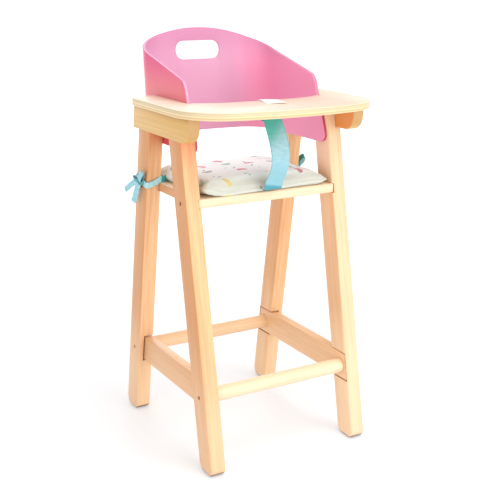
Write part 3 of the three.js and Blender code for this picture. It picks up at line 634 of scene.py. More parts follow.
def make_webbing(name, deep, light, rib, start=None, edges=None, hem=None, reverse_shade=None):
    """Webbing. start is the colour of painted shade over its first centimetres, edges the deeper dye of
    its selvedges, hem the colour of painted shade in the crease of its turned end and the distance of
    that end, and reverse_shade the colour of painted shade on its other side."""
    material, tree, shader = new_material(name, Sheen_Weight=0.4, Sheen_Roughness=0.35)
    cloth = read_attribute(tree, "cloth")
    along, across, side = split(tree, cloth)
    made = use_group(tree, rib_group, Cloth=cloth, Rib=rib)
    colour = blend_colour(tree, ramp(tree, made["Shade"], 0.2, 0.75), deep, light)
    # Painted shade: the first centimetres are a deeper teal, more so towards one edge.
    if start:
        slanting = calc(tree, "MULTIPLY_ADD", across, 0.9, along)
        colour = blend_colour(tree, ramp(tree, slanting, 0.02, 0.055, 0.85, 0.0), colour, start)
    if edges:
        near_edge = ramp(tree, size_of(tree, across), 0.0118, 0.0138, 0.0, 0.6)
        colour = blend_colour(tree, near_edge, colour, edges)
    # Painted shade that deepens towards the turned end, and a dark painted crease at the fold.
    if hem:
        crease_shade, end = hem
        colour = blend_colour(tree, ramp(tree, along, end - 0.045, end - 0.015, 0.0, 0.8), colour, deep)
        colour = blend_colour(tree, ramp(tree, along, end - 0.003, end + 0.001, 0.0, 0.9), colour, crease_shade)
    # Painted shade on the band's other side.
    if reverse_shade:
        colour = blend_colour(tree, calc(tree, "GREATER_THAN", side, 0.0), colour, reverse_shade)
    feed(tree, shader["Base Color"], colour)
    feed(tree, shader["Roughness"], ramp(tree, made["Shade"], 0.2, 0.8, 0.62, 0.8))
    bump(tree, shader, made["Height"], 0.18, 0.6)
    return material


# The strap carries painted shade at its start under the tray and at its folded end.
webbing = make_webbing(
    "aqua_webbing", srgb(132, 184, 196), srgb(176, 214, 225), 0.0011, start=srgb(44, 172, 150),
    edges=srgb(70, 180, 180), hem=(srgb(56, 150, 164), 0.1072),
)
# The ribbons' reverse colours are painted shade, deep on the bands, runs, knots and right bow and lighter on
# the left bow.
ribbon = make_webbing(
    "aqua_ribbon", srgb(138, 206, 214), srgb(196, 234, 238), 0.0009, reverse_shade=srgb(40, 140, 136))
bow_ribbon = make_webbing(
    "aqua_ribbon_bow", srgb(118, 184, 196), srgb(176, 216, 224), 0.0009, reverse_shade=srgb(84, 160, 176))
tape = make_webbing("white_tape", srgb(232, 230, 224), srgb(250, 248, 244), 0.0008)
print("Made", webbing.name, ribbon.name, bow_ribbon.name, tape.name)

# %% [markdown]
# ## Steel
# The screws are dull zinc-plated steel. Their warm dark brown is painted reflection of the wood round
# them and painted shade. Fine noise, drawn out along one direction, stands for the marks of turning.

# %% Steel
steel, tree, shader = new_material("zinc_steel", Metallic=1.0)
brushed = noise_of(tree, geometry(tree, "Position"), (900, 120, 900), 3.0)
# Painted reflection and shade: a warm dark brown in place of grey zinc.
feed(tree, shader["Base Color"], blend_colour(tree, brushed, srgb(104, 88, 74), srgb(150, 134, 118)))
feed(tree, shader["Roughness"], ramp(tree, brushed, 0.2, 0.8, 0.28, 0.5))
bump(tree, shader, brushed, 0.02, 0.5)
print("Made", steel.name)

# %% [markdown]
# ## Helpers for making boards
# A board is an outline pulled out to its thickness, with its arrises rounded by a Bevel modifier.
# Housings and holes are cut afterwards, so their edges stay crisp, as a router leaves them. Building
# the outline in code, and not by stretching a cube, gives each corner the radius that it really has.

# %% Mesh basics


def settle(obj):
    """Applies all modifiers."""
    graph = bpy.context.evaluated_depsgraph_get()
    made = bpy.data.meshes.new_from_object(obj.evaluated_get(graph))
    old = obj.data
    obj.modifiers.clear()
    obj.data = made
    bpy.data.meshes.remove(old)
    return obj


def from_bmesh(name, made):
    mesh = bpy.data.meshes.new(name)
    bmesh.ops.recalc_face_normals(made, faces=made.faces)
    made.to_mesh(mesh)
    made.free()
    return link(name, mesh)


def round_arrises(obj, radius, angle=35):
    edge = obj.modifiers.new("arris", "BEVEL")
    edge.width = radius * MM
    edge.segments = 3
    edge.limit_method = "ANGLE"
    edge.angle_limit = math.radians(angle)
    return settle(obj)


def carve(obj, *cutters):
    """Cuts away every cutter and deletes it."""
    for cutter in cutters:
        cut = obj.modifiers.new("cut", "BOOLEAN")
        cut.operation = "DIFFERENCE"
        cut.solver = "EXACT"
        cut.object = cutter
    settle(obj)
    for cutter in cutters:
        bpy.data.objects.remove(cutter)
    return obj


print("Mesh basics ready")

# %% Rounded outlines


def rounded(corners, steps=8):
    """Points of an outline whose corners are (a, b, radius)."""
    points = []
    for index, (a, b, radius) in enumerate(corners):
        here = Vector((a, b))
        if not radius:
            points.append(here)
            continue
        before = (Vector(corners[index - 1][:2]) - here).normalized()
        after = (Vector(corners[(index + 1) % len(corners)][:2]) - here).normalized()
        half = before.angle(after) / 2
        centre = here + (before + after).normalized() * radius / math.sin(half)
        start = here + before * radius / math.tan(half) - centre
        sweep = start.angle_signed(here + after * radius / math.tan(half) - centre)
        for step in range(steps + 1):
            turn = start.copy()
            turn.rotate(Matrix.Rotation(-sweep * step / steps, 2))
            points.append(centre + turn)
    return points


print("Square with rounded corners:", len(rounded([(0, 0, 1), (4, 0, 1), (4, 4, 1), (0, 4, 1)])), "points")

# %% Boards and turned parts


def board(name, outline, plane, low, high, arris=0.0):
    """A board whose outline lies in the YZ, XZ or XY plane and whose faces lie at low and high."""
    order = {"YZ": (2, 0, 1), "XZ": (0, 2, 1), "XY": (0, 1, 2)}[plane]
    made = bmesh.new()
    rings = []
    for face_level in (low, high):
        corners = [(a, b, face_level) for a, b in outline]
        rings.append([made.verts.new([corner[k] * MM for k in order]) for corner in corners])
    for ring in rings:
        made.faces.new(ring)
    for index in range(len(outline)):
        made.faces.new([rings[0][index - 1], rings[0][index], rings[1][index], rings[1][index - 1]])
    obj = from_bmesh(name, made)
    return round_arrises(obj, arris) if arris else obj


def lathe(name, profile, place, axis, steps):
    """A turned solid: profile points are (radius, height along the axis)."""
    made = bmesh.new()
    turn = Vector((0, 0, 1)).rotation_difference(Vector(axis))
    rings = []
    for radius, height in profile:
        count = steps if radius else 1
        angles = [math.tau * k / steps for k in range(count)]
        ring = [Vector((radius * math.cos(a), radius * math.sin(a), height)) for a in angles]
        rings.append([made.verts.new((turn @ point + Vector(place)) * MM) for point in ring])
    for first, second in zip(rings, rings[1:]):
        for k in range(steps):
            corners = [first[k % len(first)], first[(k + 1) % len(first)],
                       second[(k + 1) % len(second)], second[k % len(second)]]
            made.faces.new(list(dict.fromkeys(corners)))
    return from_bmesh(name, made)


def drill(name, radius, low, high, place, axis, steps):
    """Cutter for a plain round hole."""
    return lathe(name, [(0, low), (radius, low), (radius, high), (0, high)], place, axis, steps)


print("Boards and turned parts ready")

# %% [markdown]
# ## Helpers for dressing a piece
# A material can only vary with the place if the mesh carries that place, so wood and cloth
# coordinates are written as attributes. `dress` gives every piece its material, smooth faces, the
# body that it rides on and the solids that it stands for.

# %% Attributes and finish
pieces = []


def write_vectors(obj, name, values):
    made = obj.data.attributes.new(name, "FLOAT_VECTOR", "POINT")
    made.data.foreach_set("vector", np.asarray(values, dtype=np.float32).ravel())


def read_vectors(items, field, count):
    """Reads a vector of every vertex or attribute value into rows of three."""
    flat = np.empty(count * 3, dtype=np.float32)
    items.foreach_get(field, flat)
    return flat.reshape(-1, 3)


def points_of(obj):
    return read_vectors(obj.data.vertices, "co", len(obj.data.vertices))


def move_points(obj, spots):
    """Moves every vertex to its row of spots, in metres."""
    obj.data.vertices.foreach_set("co", spots.astype(np.float32).ravel())


def dress(obj, material, slot, *nodes, smooth=40):
    """Gives a piece its material and smooth faces, its place on the chair and the solids that it stands for.
    """
    obj.data.materials.clear()
    obj.data.materials.append(material)
    obj.data.polygons.foreach_set("use_smooth", [True] * len(obj.data.polygons))
    obj.data.set_sharp_from_angle(angle=math.radians(smooth))
    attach(obj, "root")
    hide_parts(*nodes)
    pieces.append(obj)
    return obj


def give_grain(obj, along, across, seed, tone=0.0):
    """Writes the wood coordinates, fibres along the first direction, and how pale this plank is."""
    chance = random.Random(seed)
    along = Vector(along).normalized()
    across = (Vector(across) - along * Vector(across).dot(along)).normalized()
    basis = np.array([along, across, along.cross(across)])
    # Where in the trunk the board was cut, in metres along it and from its middle
    offset = [chance.uniform(0, 3), chance.uniform(0.03, 0.07), chance.uniform(-0.03, 0.03)]
    write_vectors(obj, "grain", points_of(obj) @ basis.T + offset)
    write_vectors(obj, "tone", [(tone, 0, 0)] * len(obj.data.vertices))


print("Attributes and finish ready")

# %% [markdown]
# ## Screws
# A countersunk head sits a little below the wood, with a cross cut in it. A bump map could draw the
# cross, but the light falls into a real recess. The list holds every screw that can be seen: two in
# each leg's outer face.

# %% Screws
HEAD_R, SHANK_R, SUNK = 2.7, 1.4, 1.1
HEAD_STEPS = 40
CROSS = (3.4, 0.8, 2.6)


def sunk_hole(place, axis):
    """Cutter for a countersink, a little wider than the screw."""
    profile = [(0, -5), (SHANK_R + 0.2, -5), (SHANK_R + 0.2, -3.6), (HEAD_R + 0.2, -SUNK),
               (HEAD_R + 0.4, 3), (0, 3)]
    return lathe("hole", profile, place, axis, HEAD_STEPS)


def screw(name, place, axis, node):
    """A screw head with a cross recess, sunk below the surface."""
    profile = [(0, -4.5), (SHANK_R, -4.5), (SHANK_R, -3.6), (HEAD_R - 0.1, -SUNK - 0.4),
               (HEAD_R, -SUNK - 0.15), (HEAD_R - 0.5, -SUNK), (0, -SUNK + 0.05)]
    head = lathe(name, profile, place, axis, HEAD_STEPS)
    axis = Vector(axis)
    cuts = []
    for turn in (35, 125):
        cross = bmesh.new()
        bmesh.ops.create_cube(cross, size=1)
        bmesh.ops.scale(cross, vec=Vector(CROSS) * MM, verts=cross.verts)
        across = Matrix.Rotation(math.radians(turn), 3, axis) @ Vector((0, 0, 1))
        basis = Matrix((across, axis.cross(across), axis)).transposed().to_4x4()
        basis.translation = (Vector(place) - axis * SUNK) * MM
        cross.transform(basis)
        cuts.append(from_bmesh("cross", cross))
    carve(head, *cuts)
    return dress(head, steel, "zinc_steel", node, smooth=30)


screw_places = []
for side, side_name in SIDES:
    for z, kind in ((STRETCHER_Z, "rail_screw"), ((SEAT_LOW + SEAT_TOP) / 2, "seat_screw")):
        for end in ENDS:
            screw_places.append((side, f"{kind}_{end}_{side_name}", leg_middle(end, z), z))
for side, node, y, z in screw_places:
    screw(node.replace("screw", "screw_head"), (side * LEG_OUT, y, z), (side, 0, 0), node)
packed_screws = [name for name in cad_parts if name.startswith(("shell_screw", "tray_screw"))]
for name in packed_screws:
    for material_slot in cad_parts[name].material_slots:
        material_slot.material = steel
print(len(screw_places), "screws made and", len(packed_screws), "kept from the packed model")

# %% [markdown]
# ## Legs
# Each leg has a lap for the bracket, a housing for the rail, another for the seat board and two
# screw holes. The rail's housing is cut nearly two millimetres large, which draws the dark line of a
# real joint. The feet are rounded on all four sides, as a sander leaves them.

# %% Cutters for the legs
FAR, ABOVE_LEGS = 200, 480
FOOT_TOE, FOOT_HEEL, FOOT_SIDE = 9, 13, 4.0
RAIL_SET = 2.6


def rail_outline(grow):
    """The side rail, seen from the side, with its ends set back a little from the legs' faces."""
    low, high = RAIL_LOW - grow, RAIL_TOP + grow
    return [(front_leg(low) + RAIL_SET - grow, low), (rear_leg(low) - RAIL_SET + grow, low),
            (rear_leg(high) - RAIL_SET + grow, high), (front_leg(high) + RAIL_SET - grow, high)]


def strip(low, high):
    """Outline of a cutter that runs through from front to back between two heights."""
    return [(-FAR, low), (FAR, low), (FAR, high), (-FAR, high)]


def foot_cutter(x, inward):
    """Rounds a foot's lower corner at x; inward points to the leg's middle, +1 or -1."""
    arc = [(x + inward * FOOT_SIDE * (1 - math.cos(a)), FOOT_SIDE * (1 - math.sin(a)))
           for a in np.linspace(0, math.pi / 2, 9)]
    beyond = [(x + inward * FOOT_SIDE, -2), (x - inward * 2, -2), (x - inward * 2, FOOT_SIDE)]
    return board("corner", arc + beyond, "XZ", -FAR, FAR)


def spread_x(side, low, high):
    """The X range of a board on the right, or its mirror image on the left."""
    return (low, high) if side > 0 else (-high, -low)


print("Rail is", round(RAIL_TOP - RAIL_LOW), "mm high")

# %% Legs
LEG_TONES = {"front_leg_right": 0.42, "front_leg_left": 0.06, "rear_leg_right": 0.1, "rear_leg_left": 0.16}
HOUSING_START, SEAT_DEEP, LAP_END = 90, 3.3, 140


def make_leg(side, side_name, end):
    node, top = f"{end}_leg_{side_name}", TRAY_UNDER - GAP
    face, face_top = leg_face(end, 0), leg_face(end, top)
    outline = rounded([(face, 0, FOOT_TOE), (face + LEG_DEEP, 0, FOOT_HEEL),
                       (face_top + LEG_DEEP, top, 0), (face_top, top, 0)])
    leg = board(f"{node}_wood", outline, "YZ", *spread_x(side, LEG_IN, LEG_OUT), arris=1.8)
    lap = strip(BRACKET_LOW - GAP, ABOVE_LEGS)
    seat_housing = strip(SEAT_LOW - GAP, SEAT_TOP + GAP)
    rail_deep = LEG_IN + RAIL_THICK + JOINT
    carve(
        leg,
        board("lap", lap, "YZ", *spread_x(side, BRACKET_IN - GAP, LAP_END)),
        board("seat housing", seat_housing, "YZ", *spread_x(side, HOUSING_START, LEG_IN + SEAT_DEEP)),
        board("rail housing", rail_outline(JOINT), "YZ", *spread_x(side, HOUSING_START, rail_deep)),
        foot_cutter(side * LEG_IN, side),
        foot_cutter(side * LEG_OUT, -side),
        *[sunk_hole((side * LEG_OUT, y, z), (side, 0, 0)) for screw_side, screw_node, y, z in screw_places
          if screw_side == side and f"_{end}_" in screw_node],
    )
    give_grain(leg, (0, face_top - face, top), (1, 0.35 * side, 0), f"{end}{side}", LEG_TONES[node])
    dress(leg, beech, "beech", node)


print("Legs take", len(LEG_TONES), "tones")

# %% [markdown]
# ## Rails and brackets
# The rail lies between two legs and holds the ends of the stretchers in round sockets. The bracket is
# lapped on the outside of the legs and carries the tray, whose screws come up through two wells.

# %% Rails and brackets
BRACKET_REACH, BRACKET_CORNER = 46, 20
WELL_R, WELL_DEEP, WELL_Z = 3.8, 30, TRAY_UNDER - 18.3
# How far the wells lie in front of the front and rear leg
FRONT_WELL, REAR_WELL = 23, 12


def make_rail(side, side_name):
    range_x = spread_x(side, LEG_IN, LEG_IN + RAIL_THICK)
    rail = board(f"rail_{side_name}_wood", rail_outline(0), "YZ", *range_x, arris=1.2)
    places = [(side * LEG_IN, leg_middle(end, STRETCHER_Z), STRETCHER_Z) for end in ENDS]
    carve(rail, *[drill("socket", STRETCHER_R + GAP, -6, 8, place, (-side, 0, 0), 48) for place in places])
    give_grain(rail, (0, 1, 0), (1, 0, 0.4), f"rail{side}", 0.15)
    dress(rail, beech, "beech", f"side_rail_{side_name}")


def make_bracket(side, side_name):
    top, leg_front = TRAY_UNDER - GAP, front_leg(TRAY_UNDER)
    outline = rounded([(leg_front - BRACKET_REACH, BRACKET_LOW, BRACKET_CORNER),
                       (rear_leg(BRACKET_LOW), BRACKET_LOW, 0), (rear_leg(top), top, 0),
                       (leg_front - BRACKET_REACH, top, 0)], 12)
    range_x = spread_x(side, BRACKET_IN, BRACKET_OUT)
    bracket = board(f"bracket_{side_name}_wood", outline, "YZ", *range_x, arris=1.6)
    middle = side * (BRACKET_IN + BRACKET_OUT) / 2
    carve(bracket, *[drill("well", WELL_R, -WELL_DEEP, 0, (middle, y, WELL_Z), (0, 0, 1), 32)
                     for y in (leg_front - FRONT_WELL, leg_face("rear", TRAY_UNDER) - REAR_WELL)])
    give_grain(bracket, (0, 1, 0), (1, 0, 0.5), f"bracket{side}")
    dress(bracket, mustard_beech, "beech", f"tray_bracket_{side_name}")


for side, side_name in SIDES:
    for end in ENDS:
        make_leg(side, side_name, end)
    make_rail(side, side_name)
    make_bracket(side, side_name)
print("Side frames:", len(pieces), "pieces so far")

# %% [markdown]
# ## Stretchers and seat board
# Two turned bars and the seat board hold the side frames apart. Their ends stand in the housings, so
# they are a few millimetres longer than the space between the legs.

# %% Stretchers and seat board
STRETCHER_TONES = {"front": 0.75, "rear": 0.35}
# How far the ends go into the side frames
STRETCHER_DEEP, SEAT_TENON = 5.7, 2.7
half = LEG_IN + STRETCHER_DEEP
for end in ENDS:
    profile = [(0, -half), (STRETCHER_R, -half), (STRETCHER_R, 0), (STRETCHER_R, half), (0, half)]
    place = (0, leg_middle(end, STRETCHER_Z), STRETCHER_Z)
    bar = lathe(f"stretcher_{end}_wood", profile, place, (1, 0, 0), 56)
    give_grain(bar, (1, 0, 0), (0, 0.6, 1), f"bar{end}", STRETCHER_TONES[end])
    dress(bar, beech, "beech", f"{end}_stretcher")

half = LEG_IN + SEAT_TENON
seat_front, seat_rear = front_leg(SEAT_TOP), rear_leg(SEAT_TOP)
outline = [(-half, seat_front), (half, seat_front), (half, seat_rear), (-half, seat_rear)]
seat = board("seat_wood", outline, "XY", SEAT_LOW, SEAT_TOP, arris=1.5)
give_grain(seat, (1, 0, 0), (0, 1, 0.2), "seat", 0.7)
dress(seat, beech, "beech", "seat_board")
print("Seat spans", round(2 * half, 1), "mm")

# %% [markdown]
# ## Tray
# The tray is one sheet of plywood. Its front edge is bowed and its inner edge bulges towards the
# doll. A cut with a Boolean would leave few points on such curves, so both are sampled finely and
# stay smooth when seen up close.

# %% Tray
TRAY_HALF, TRAY_FRONT, TRAY_BOW = 141.0, -141.0, 21.0
FRONT_CORNER, REAR_CORNER, ARM_CORNER = 63, 18, 4
WING_OUT, WING_IN = LEG_IN - GAP, LEG_IN - GAP - 4
WING_RISE, WING_SLANT, WING_STEP = 89, 31, 3.5
BELLY, BELLY_BULGE = TRAY_FRONT + 92, 20


def wing_front(z):
    """Y of the shell wings' front edge at height z; it steps back a little where it passes the tray."""
    step = min(max((z - TRAY_UNDER) / (TRAY_TOP - TRAY_UNDER), 0), 1)
    return front_leg(SHELL_LOW) + 1 + WING_SLANT * (z - SHELL_LOW) / WING_RISE + WING_STEP * step


arm_end, arm_start = rear_leg(TRAY_UNDER) - 3, wing_front(TRAY_UNDER) - 0.6
inner = WING_IN - GAP
half_outline = [(TRAY_HALF * s, TRAY_FRONT + TRAY_BOW * s * s, 0) for s in np.linspace(0, 0.6, 9)[1:]]
half_outline += [(TRAY_HALF, TRAY_FRONT + TRAY_BOW, FRONT_CORNER), (TRAY_HALF, arm_end, REAR_CORNER),
                 (WING_OUT + GAP, arm_end, ARM_CORNER), (WING_OUT + GAP, arm_start, 0), (inner, arm_start, 0)]
half_outline += [(inner * s, BELLY + BELLY_BULGE * s**4, 0) for s in np.linspace(1, 0, 15)[:-1]]
other_half = [(-a, b, radius) for a, b, radius in reversed(half_outline)]
outline = [(0, TRAY_FRONT, 0), *half_outline, (0, BELLY, 0), *other_half]
tray = board("tray_ply", rounded(outline, 14), "XY", TRAY_UNDER, TRAY_TOP, arris=1.1)
give_grain(tray, (1, 0, 0), (0, 1, 0.08), "tray")
dress(tray, plywood, "plywood", "tray")
print("Tray has", len(tray.data.vertices), "vertices")

# %% [markdown]
# ## Backrest shell
# The shell is a flat blank bent round the back. The blank is made column by column, with the hand
# slot left open, then every point is moved to its place on the bend. A Simple Deform modifier bends
# along one arc only, and this shell has a flat arc for the back, two tight bends and straight wings.

# %% Shell's bend
THICK = 4.0
BEND_IN, BACK_R, SHELL_DEEP = 40.0, 700.0, 179.8
BEND_X = WING_IN - BEND_IN
BEND_R = BEND_IN + THICK / 2
BACK_ANGLE = math.asin(BEND_X / (BACK_R - BEND_IN))
BACK_Y = front_leg(SHELL_LOW) + SHELL_DEEP + THICK / 2
BACK_REACH = BACK_R + THICK / 2
BEND_Y = BACK_Y - BACK_REACH + (BACK_R - BEND_IN) * math.cos(BACK_ANGLE)
BACK_LENGTH = BACK_REACH * BACK_ANGLE
WING_START = BACK_LENGTH + BEND_R * (math.pi / 2 - BACK_ANGLE)
SHELL_LEAN = 14.5


def lean_at(z):
    """How far the shell leans back at height z."""
    return SHELL_LEAN * (z - SHELL_LOW) / (SHELL_HIGH - SHELL_LOW)


def bent(distance, z):
    """Place on the shell's middle surface, from the distance round it and the height."""
    side, s = math.copysign(1, distance), abs(distance)
    if s <= BACK_LENGTH:
        angle = s / BACK_REACH
        x, y = BACK_REACH * math.sin(angle), BACK_Y - BACK_REACH + BACK_REACH * math.cos(angle)
    elif s <= WING_START:
        angle = BACK_ANGLE + (s - BACK_LENGTH) / BEND_R
        x, y = BEND_X + BEND_R * math.sin(angle), BEND_Y + BEND_R * math.cos(angle)
    else:
        x, y = BEND_X + BEND_R, BEND_Y - (s - WING_START)
    return Vector((side * x, y + lean_at(z), z))


def offset_of(point):
    """How far a point lies from the middle surface, outwards, as a share of half the thickness."""
    x, y = abs(point[0]) / MM, point[1] / MM - lean_at(point[2] / MM)
    if y <= BEND_Y:
        away = x - (BEND_X + BEND_R)
    elif math.atan2(x, y - BACK_Y + BACK_REACH) > BACK_ANGLE:
        away = math.hypot(x - BEND_X, y - BEND_Y) - BEND_R
    else:
        away = math.hypot(x, y - BACK_Y + BACK_REACH) - BACK_REACH
    return away / (THICK / 2)


print("The blank is", round(2 * WING_START), "mm long without its wings")

# %% Shell's outline
SLOT_HALF, SLOT_LOW, SLOT_HIGH, SLOT_CORNER = 35.6, 513.5, 539.6, 12
WING_CORNER, WING_FOOT, REAR_RISE = 18, 12, 112


def wing_distance(z):
    """Distance round the shell of the wing's front edge at height z."""
    return WING_START + BEND_Y - wing_front(z) + lean_at(z)


rear = WING_START + 20
rear_top, front_top = SHELL_LOW + REAR_RISE, SHELL_LOW + WING_RISE
crest_knee = (rear * 0.68, rear_top + (SHELL_HIGH - rear_top) * 0.3)
crest_stops = ((0, SHELL_HIGH), (rear * 0.42, SHELL_HIGH), crest_knee, (rear, rear_top))
crest = []
for t in np.linspace(0, 1, 33)[:-1]:
    weights = ((1 - t) ** 3, 3 * t * (1 - t) ** 2, 3 * t * t * (1 - t), t**3)
    crest.append(Vector([sum(w * stop[k] for w, stop in zip(weights, crest_stops)) for k in (0, 1)]))
ending = rounded([(rear, rear_top, 0), (wing_distance(front_top), front_top, WING_CORNER),
                  (wing_distance(TRAY_TOP), TRAY_TOP, 0), (wing_distance(TRAY_UNDER), TRAY_UNDER, 0),
                  (wing_distance(SHELL_LOW), SHELL_LOW, WING_FOOT), (rear, SHELL_LOW, 0)], 12)
tip = max(range(len(ending)), key=lambda k: ending[k][0])
upper = [*crest, *ending[: tip + 1]]
lower = [Vector((0, SHELL_LOW)), *reversed(ending[tip:])]
slot_arc = [(SLOT_HALF - SLOT_CORNER + SLOT_CORNER * math.sin(a), SLOT_CORNER - SLOT_CORNER * math.cos(a))
            for a in np.linspace(0, math.pi / 2, 9)]
print("Wing reaches", round(ending[tip][0]), "mm round the shell")

# %% Shell from its blank
TIP_REACH, TIP_HEIGHT = ending[tip]


def height_on(chain, s):
    return float(np.interp(s, [p[0] for p in chain], [p[1] for p in chain]))


stations = {round(float(s), 3) for s in (
    *[p[0] for p in upper], *[p[0] for p in lower], *[a for a, _ in slot_arc],
    *np.linspace(BACK_LENGTH, WING_START, 19), *np.linspace(0, BACK_LENGTH, 9),
    *np.linspace(WING_START, TIP_REACH, 12))}
half_stations = []
for s in sorted(stations):
    if not half_stations or s - half_stations[-1] > 0.25 or abs(s - SLOT_HALF) < 0.01:
        half_stations.append(s)
half_stations = [s for s in half_stations if s < TIP_REACH - 0.3] + [TIP_REACH]

blank = bmesh.new()
columns = []
for s in [*[-s for s in reversed(half_stations[1:])], *half_stations]:
    heights = [height_on(lower, abs(s)), height_on(upper, abs(s))]
    if abs(s) >= TIP_REACH:
        heights = [TIP_HEIGHT]
    elif abs(s) <= SLOT_HALF + 0.001:
        rise = float(np.interp(abs(s), *zip(*slot_arc)))
        heights[1:1] = [SLOT_LOW + rise, SLOT_HIGH - rise]
    columns.append([blank.verts.new(bent(s, z) * MM) for z in heights])
for first, second in zip(columns, columns[1:]):
    if len(first) == 4 and len(second) == 4:
        blank.faces.new([first[0], second[0], second[1], first[1]])
        blank.faces.new([first[2], second[2], second[3], first[3]])
    else:
        blank.faces.new([*first, *reversed(second)])
shell = from_bmesh("backrest_shell_ply", blank)
skin = shell.modifiers.new("thickness", "SOLIDIFY")
skin.thickness = THICK * MM
skin.offset = 0
skin.use_even_offset = True
settle(shell)
round_arrises(shell, 0.9, 55)
write_vectors(shell, "through", [(offset_of(v.co), 0, 0) for v in shell.data.vertices])
give_grain(shell, (1, 0, 0), (0, 1, 0), "shell")
dress(shell, lacquer, "pink_lacquer", "backrest_shell", smooth=35)
print("Shell has", len(shell.data.vertices), "vertices")

# %% [markdown]
# ## Seat cushion
# Two pieces of printed cotton are sewn together round the edge and stuffed. A scaled sphere or a
# rounded box would look like a pillow of foam. So the pad starts as a slightly slim shape with its
# seam low down, then Blender's cloth solver fills it with pressure.

# %% Cushion outline
PAD_SEAT = SEAT_TOP + GAP
PAD_SEAM = PAD_SEAT + 5.6
PAD_CORNERS = [(-96.0, -72.0, 11), (95.5, -69.5, 15), (93.5, 79.5, 11), (-93.5, 79.5, 11)]
PAD_ACROSS, PAD_ALONG = 44, 34
ARC_POINTS = 9
SIDE_PULL = 2.6


def crowd_ends(even):
    """Moves even shares from 0 to 1 towards both ends, where the cushion bends most."""
    return 0.45 * even + 0.55 * (0.5 - 0.5 * np.cos(np.pi * even))


def side_points(index, count):
    """Points along one side, from the middle of a rounded corner to the middle of the next. Filled
    cloth pulls its sides in between the corners."""
    chain = np.array([*arcs[index][4:], *arcs[(index + 1) % 4][:5]])
    steps = np.concatenate([[0], np.cumsum(np.linalg.norm(np.diff(chain, axis=0), axis=1))])
    share = crowd_ends(np.linspace(0, 1, count + 1))
    spots = np.array([np.interp(share * steps[-1], steps, chain[:, k]) for k in (0, 1)]).T
    heading = chain[-1] - chain[0]
    inward = np.array([-heading[1], heading[0]]) / np.linalg.norm(heading)
    return spots + np.outer(np.sin(np.pi * share) * SIDE_PULL, inward)


flat_outline = rounded(PAD_CORNERS, ARC_POINTS - 1)
arcs = [flat_outline[k * ARC_POINTS:(k + 1) * ARC_POINTS] for k in range(4)]
front_side, right_side = side_points(0, PAD_ACROSS), side_points(1, PAD_ALONG)
rear_side, left_side = side_points(2, PAD_ACROSS)[::-1], side_points(3, PAD_ALONG)[::-1]
rim_points = np.vstack([front_side, right_side[1:], rear_side[::-1][1:], left_side[::-1][1:-1]])
print("Cushion seam has", len(rim_points), "points")

# %% [markdown]
# The pad's points lie on a grid that is stretched between its four sides. How high a point stands
# depends on its distance from the seam: the edge is a quarter of an ellipse, and the middle has a low
# crown. Each point remembers the nearest place on the seam, for the puckers later.

# %% Cushion form
EDGE_FRONT, EDGE_REAR, EDGE_UNDER = 25, 11, 9
CROWN, CROWN_MIDDLE, UNDER_DEEP = 9.6, 2.0, 5.2
PAD_MIDDLE_Y, HALF_WIDE, HALF_LONG = 5, 96, 78


def quarter_ellipse(distance, reach):
    """Rises from 0 at the seam to 1 at the reach."""
    return np.sqrt(1 - (1 - np.clip(distance / reach, 0, 1)) ** 2)


u = crowd_ends(np.linspace(0, 1, PAD_ACROSS + 1)[:, None, None])
v = crowd_ends(np.linspace(0, 1, PAD_ALONG + 1)[None, :, None])
sides = ((1 - v) * front_side[:, None] + v * rear_side[:, None]
         + (1 - u) * left_side[None] + u * right_side[None])
corners = ((1 - u) * (1 - v) * front_side[0] + u * (1 - v) * front_side[-1]
           + (1 - u) * v * rear_side[0] + u * v * rear_side[-1])
plan = sides - corners
fine = np.vstack([np.linspace(a, b, 5)[:-1] for a, b in zip(rim_points, np.roll(rim_points, -1, axis=0))])
away = np.linalg.norm(plan[:, :, None] - fine[None, None], axis=3)
nearest, inside = away.argmin(axis=2), away.min(axis=2)
backward = plan[..., 1] - PAD_MIDDLE_Y
edge_reach = EDGE_FRONT - (EDGE_FRONT - EDGE_REAR) * np.clip(backward / 70, 0, 1)
middle = (1 - (plan[..., 0] / HALF_WIDE) ** 2) * (1 - (backward / HALF_LONG) ** 2)
over = quarter_ellipse(inside, edge_reach) * (CROWN + CROWN_MIDDLE * middle)
under = quarter_ellipse(inside, EDGE_UNDER) * UNDER_DEEP

pad = bmesh.new()
pad_grid, seam_facts = {}, []
for (i, j), rise in np.ndenumerate(over):
    on_rim = i in (0, PAD_ACROSS) or j in (0, PAD_ALONG)
    heights = [0] if on_rim else [rise, -under[i, j]]
    made = [pad.verts.new((*(plan[i, j] * MM), (PAD_SEAM + height) * MM)) for height in heights]
    pad_grid[i, j] = made[0], made[-1]
    seam_facts += [(*fine[nearest[i, j]], depth) for depth in (inside[i, j], -inside[i, j])[:len(made)]]
for layer in (0, 1):
    for i in range(PAD_ACROSS):
        for j in range(PAD_ALONG):
            square = ((i, j), (i + 1, j), (i + 1, j + 1), (i, j + 1))
            pad.faces.new([pad_grid[spot][layer] for spot in square])
cushion = from_bmesh("cushion", pad)
write_vectors(cushion, "seam", np.array(seam_facts) * MM)
print("Cushion cage:", len(cushion.data.vertices), "points")

# %% [markdown]
# No point may move more than a few millimetres, so the filled pad keeps its size.

# %% Fill the cushion
FILL_PRESSURE, FILL_CAP, FILL_FRAMES = 4.0, 5.0, 20


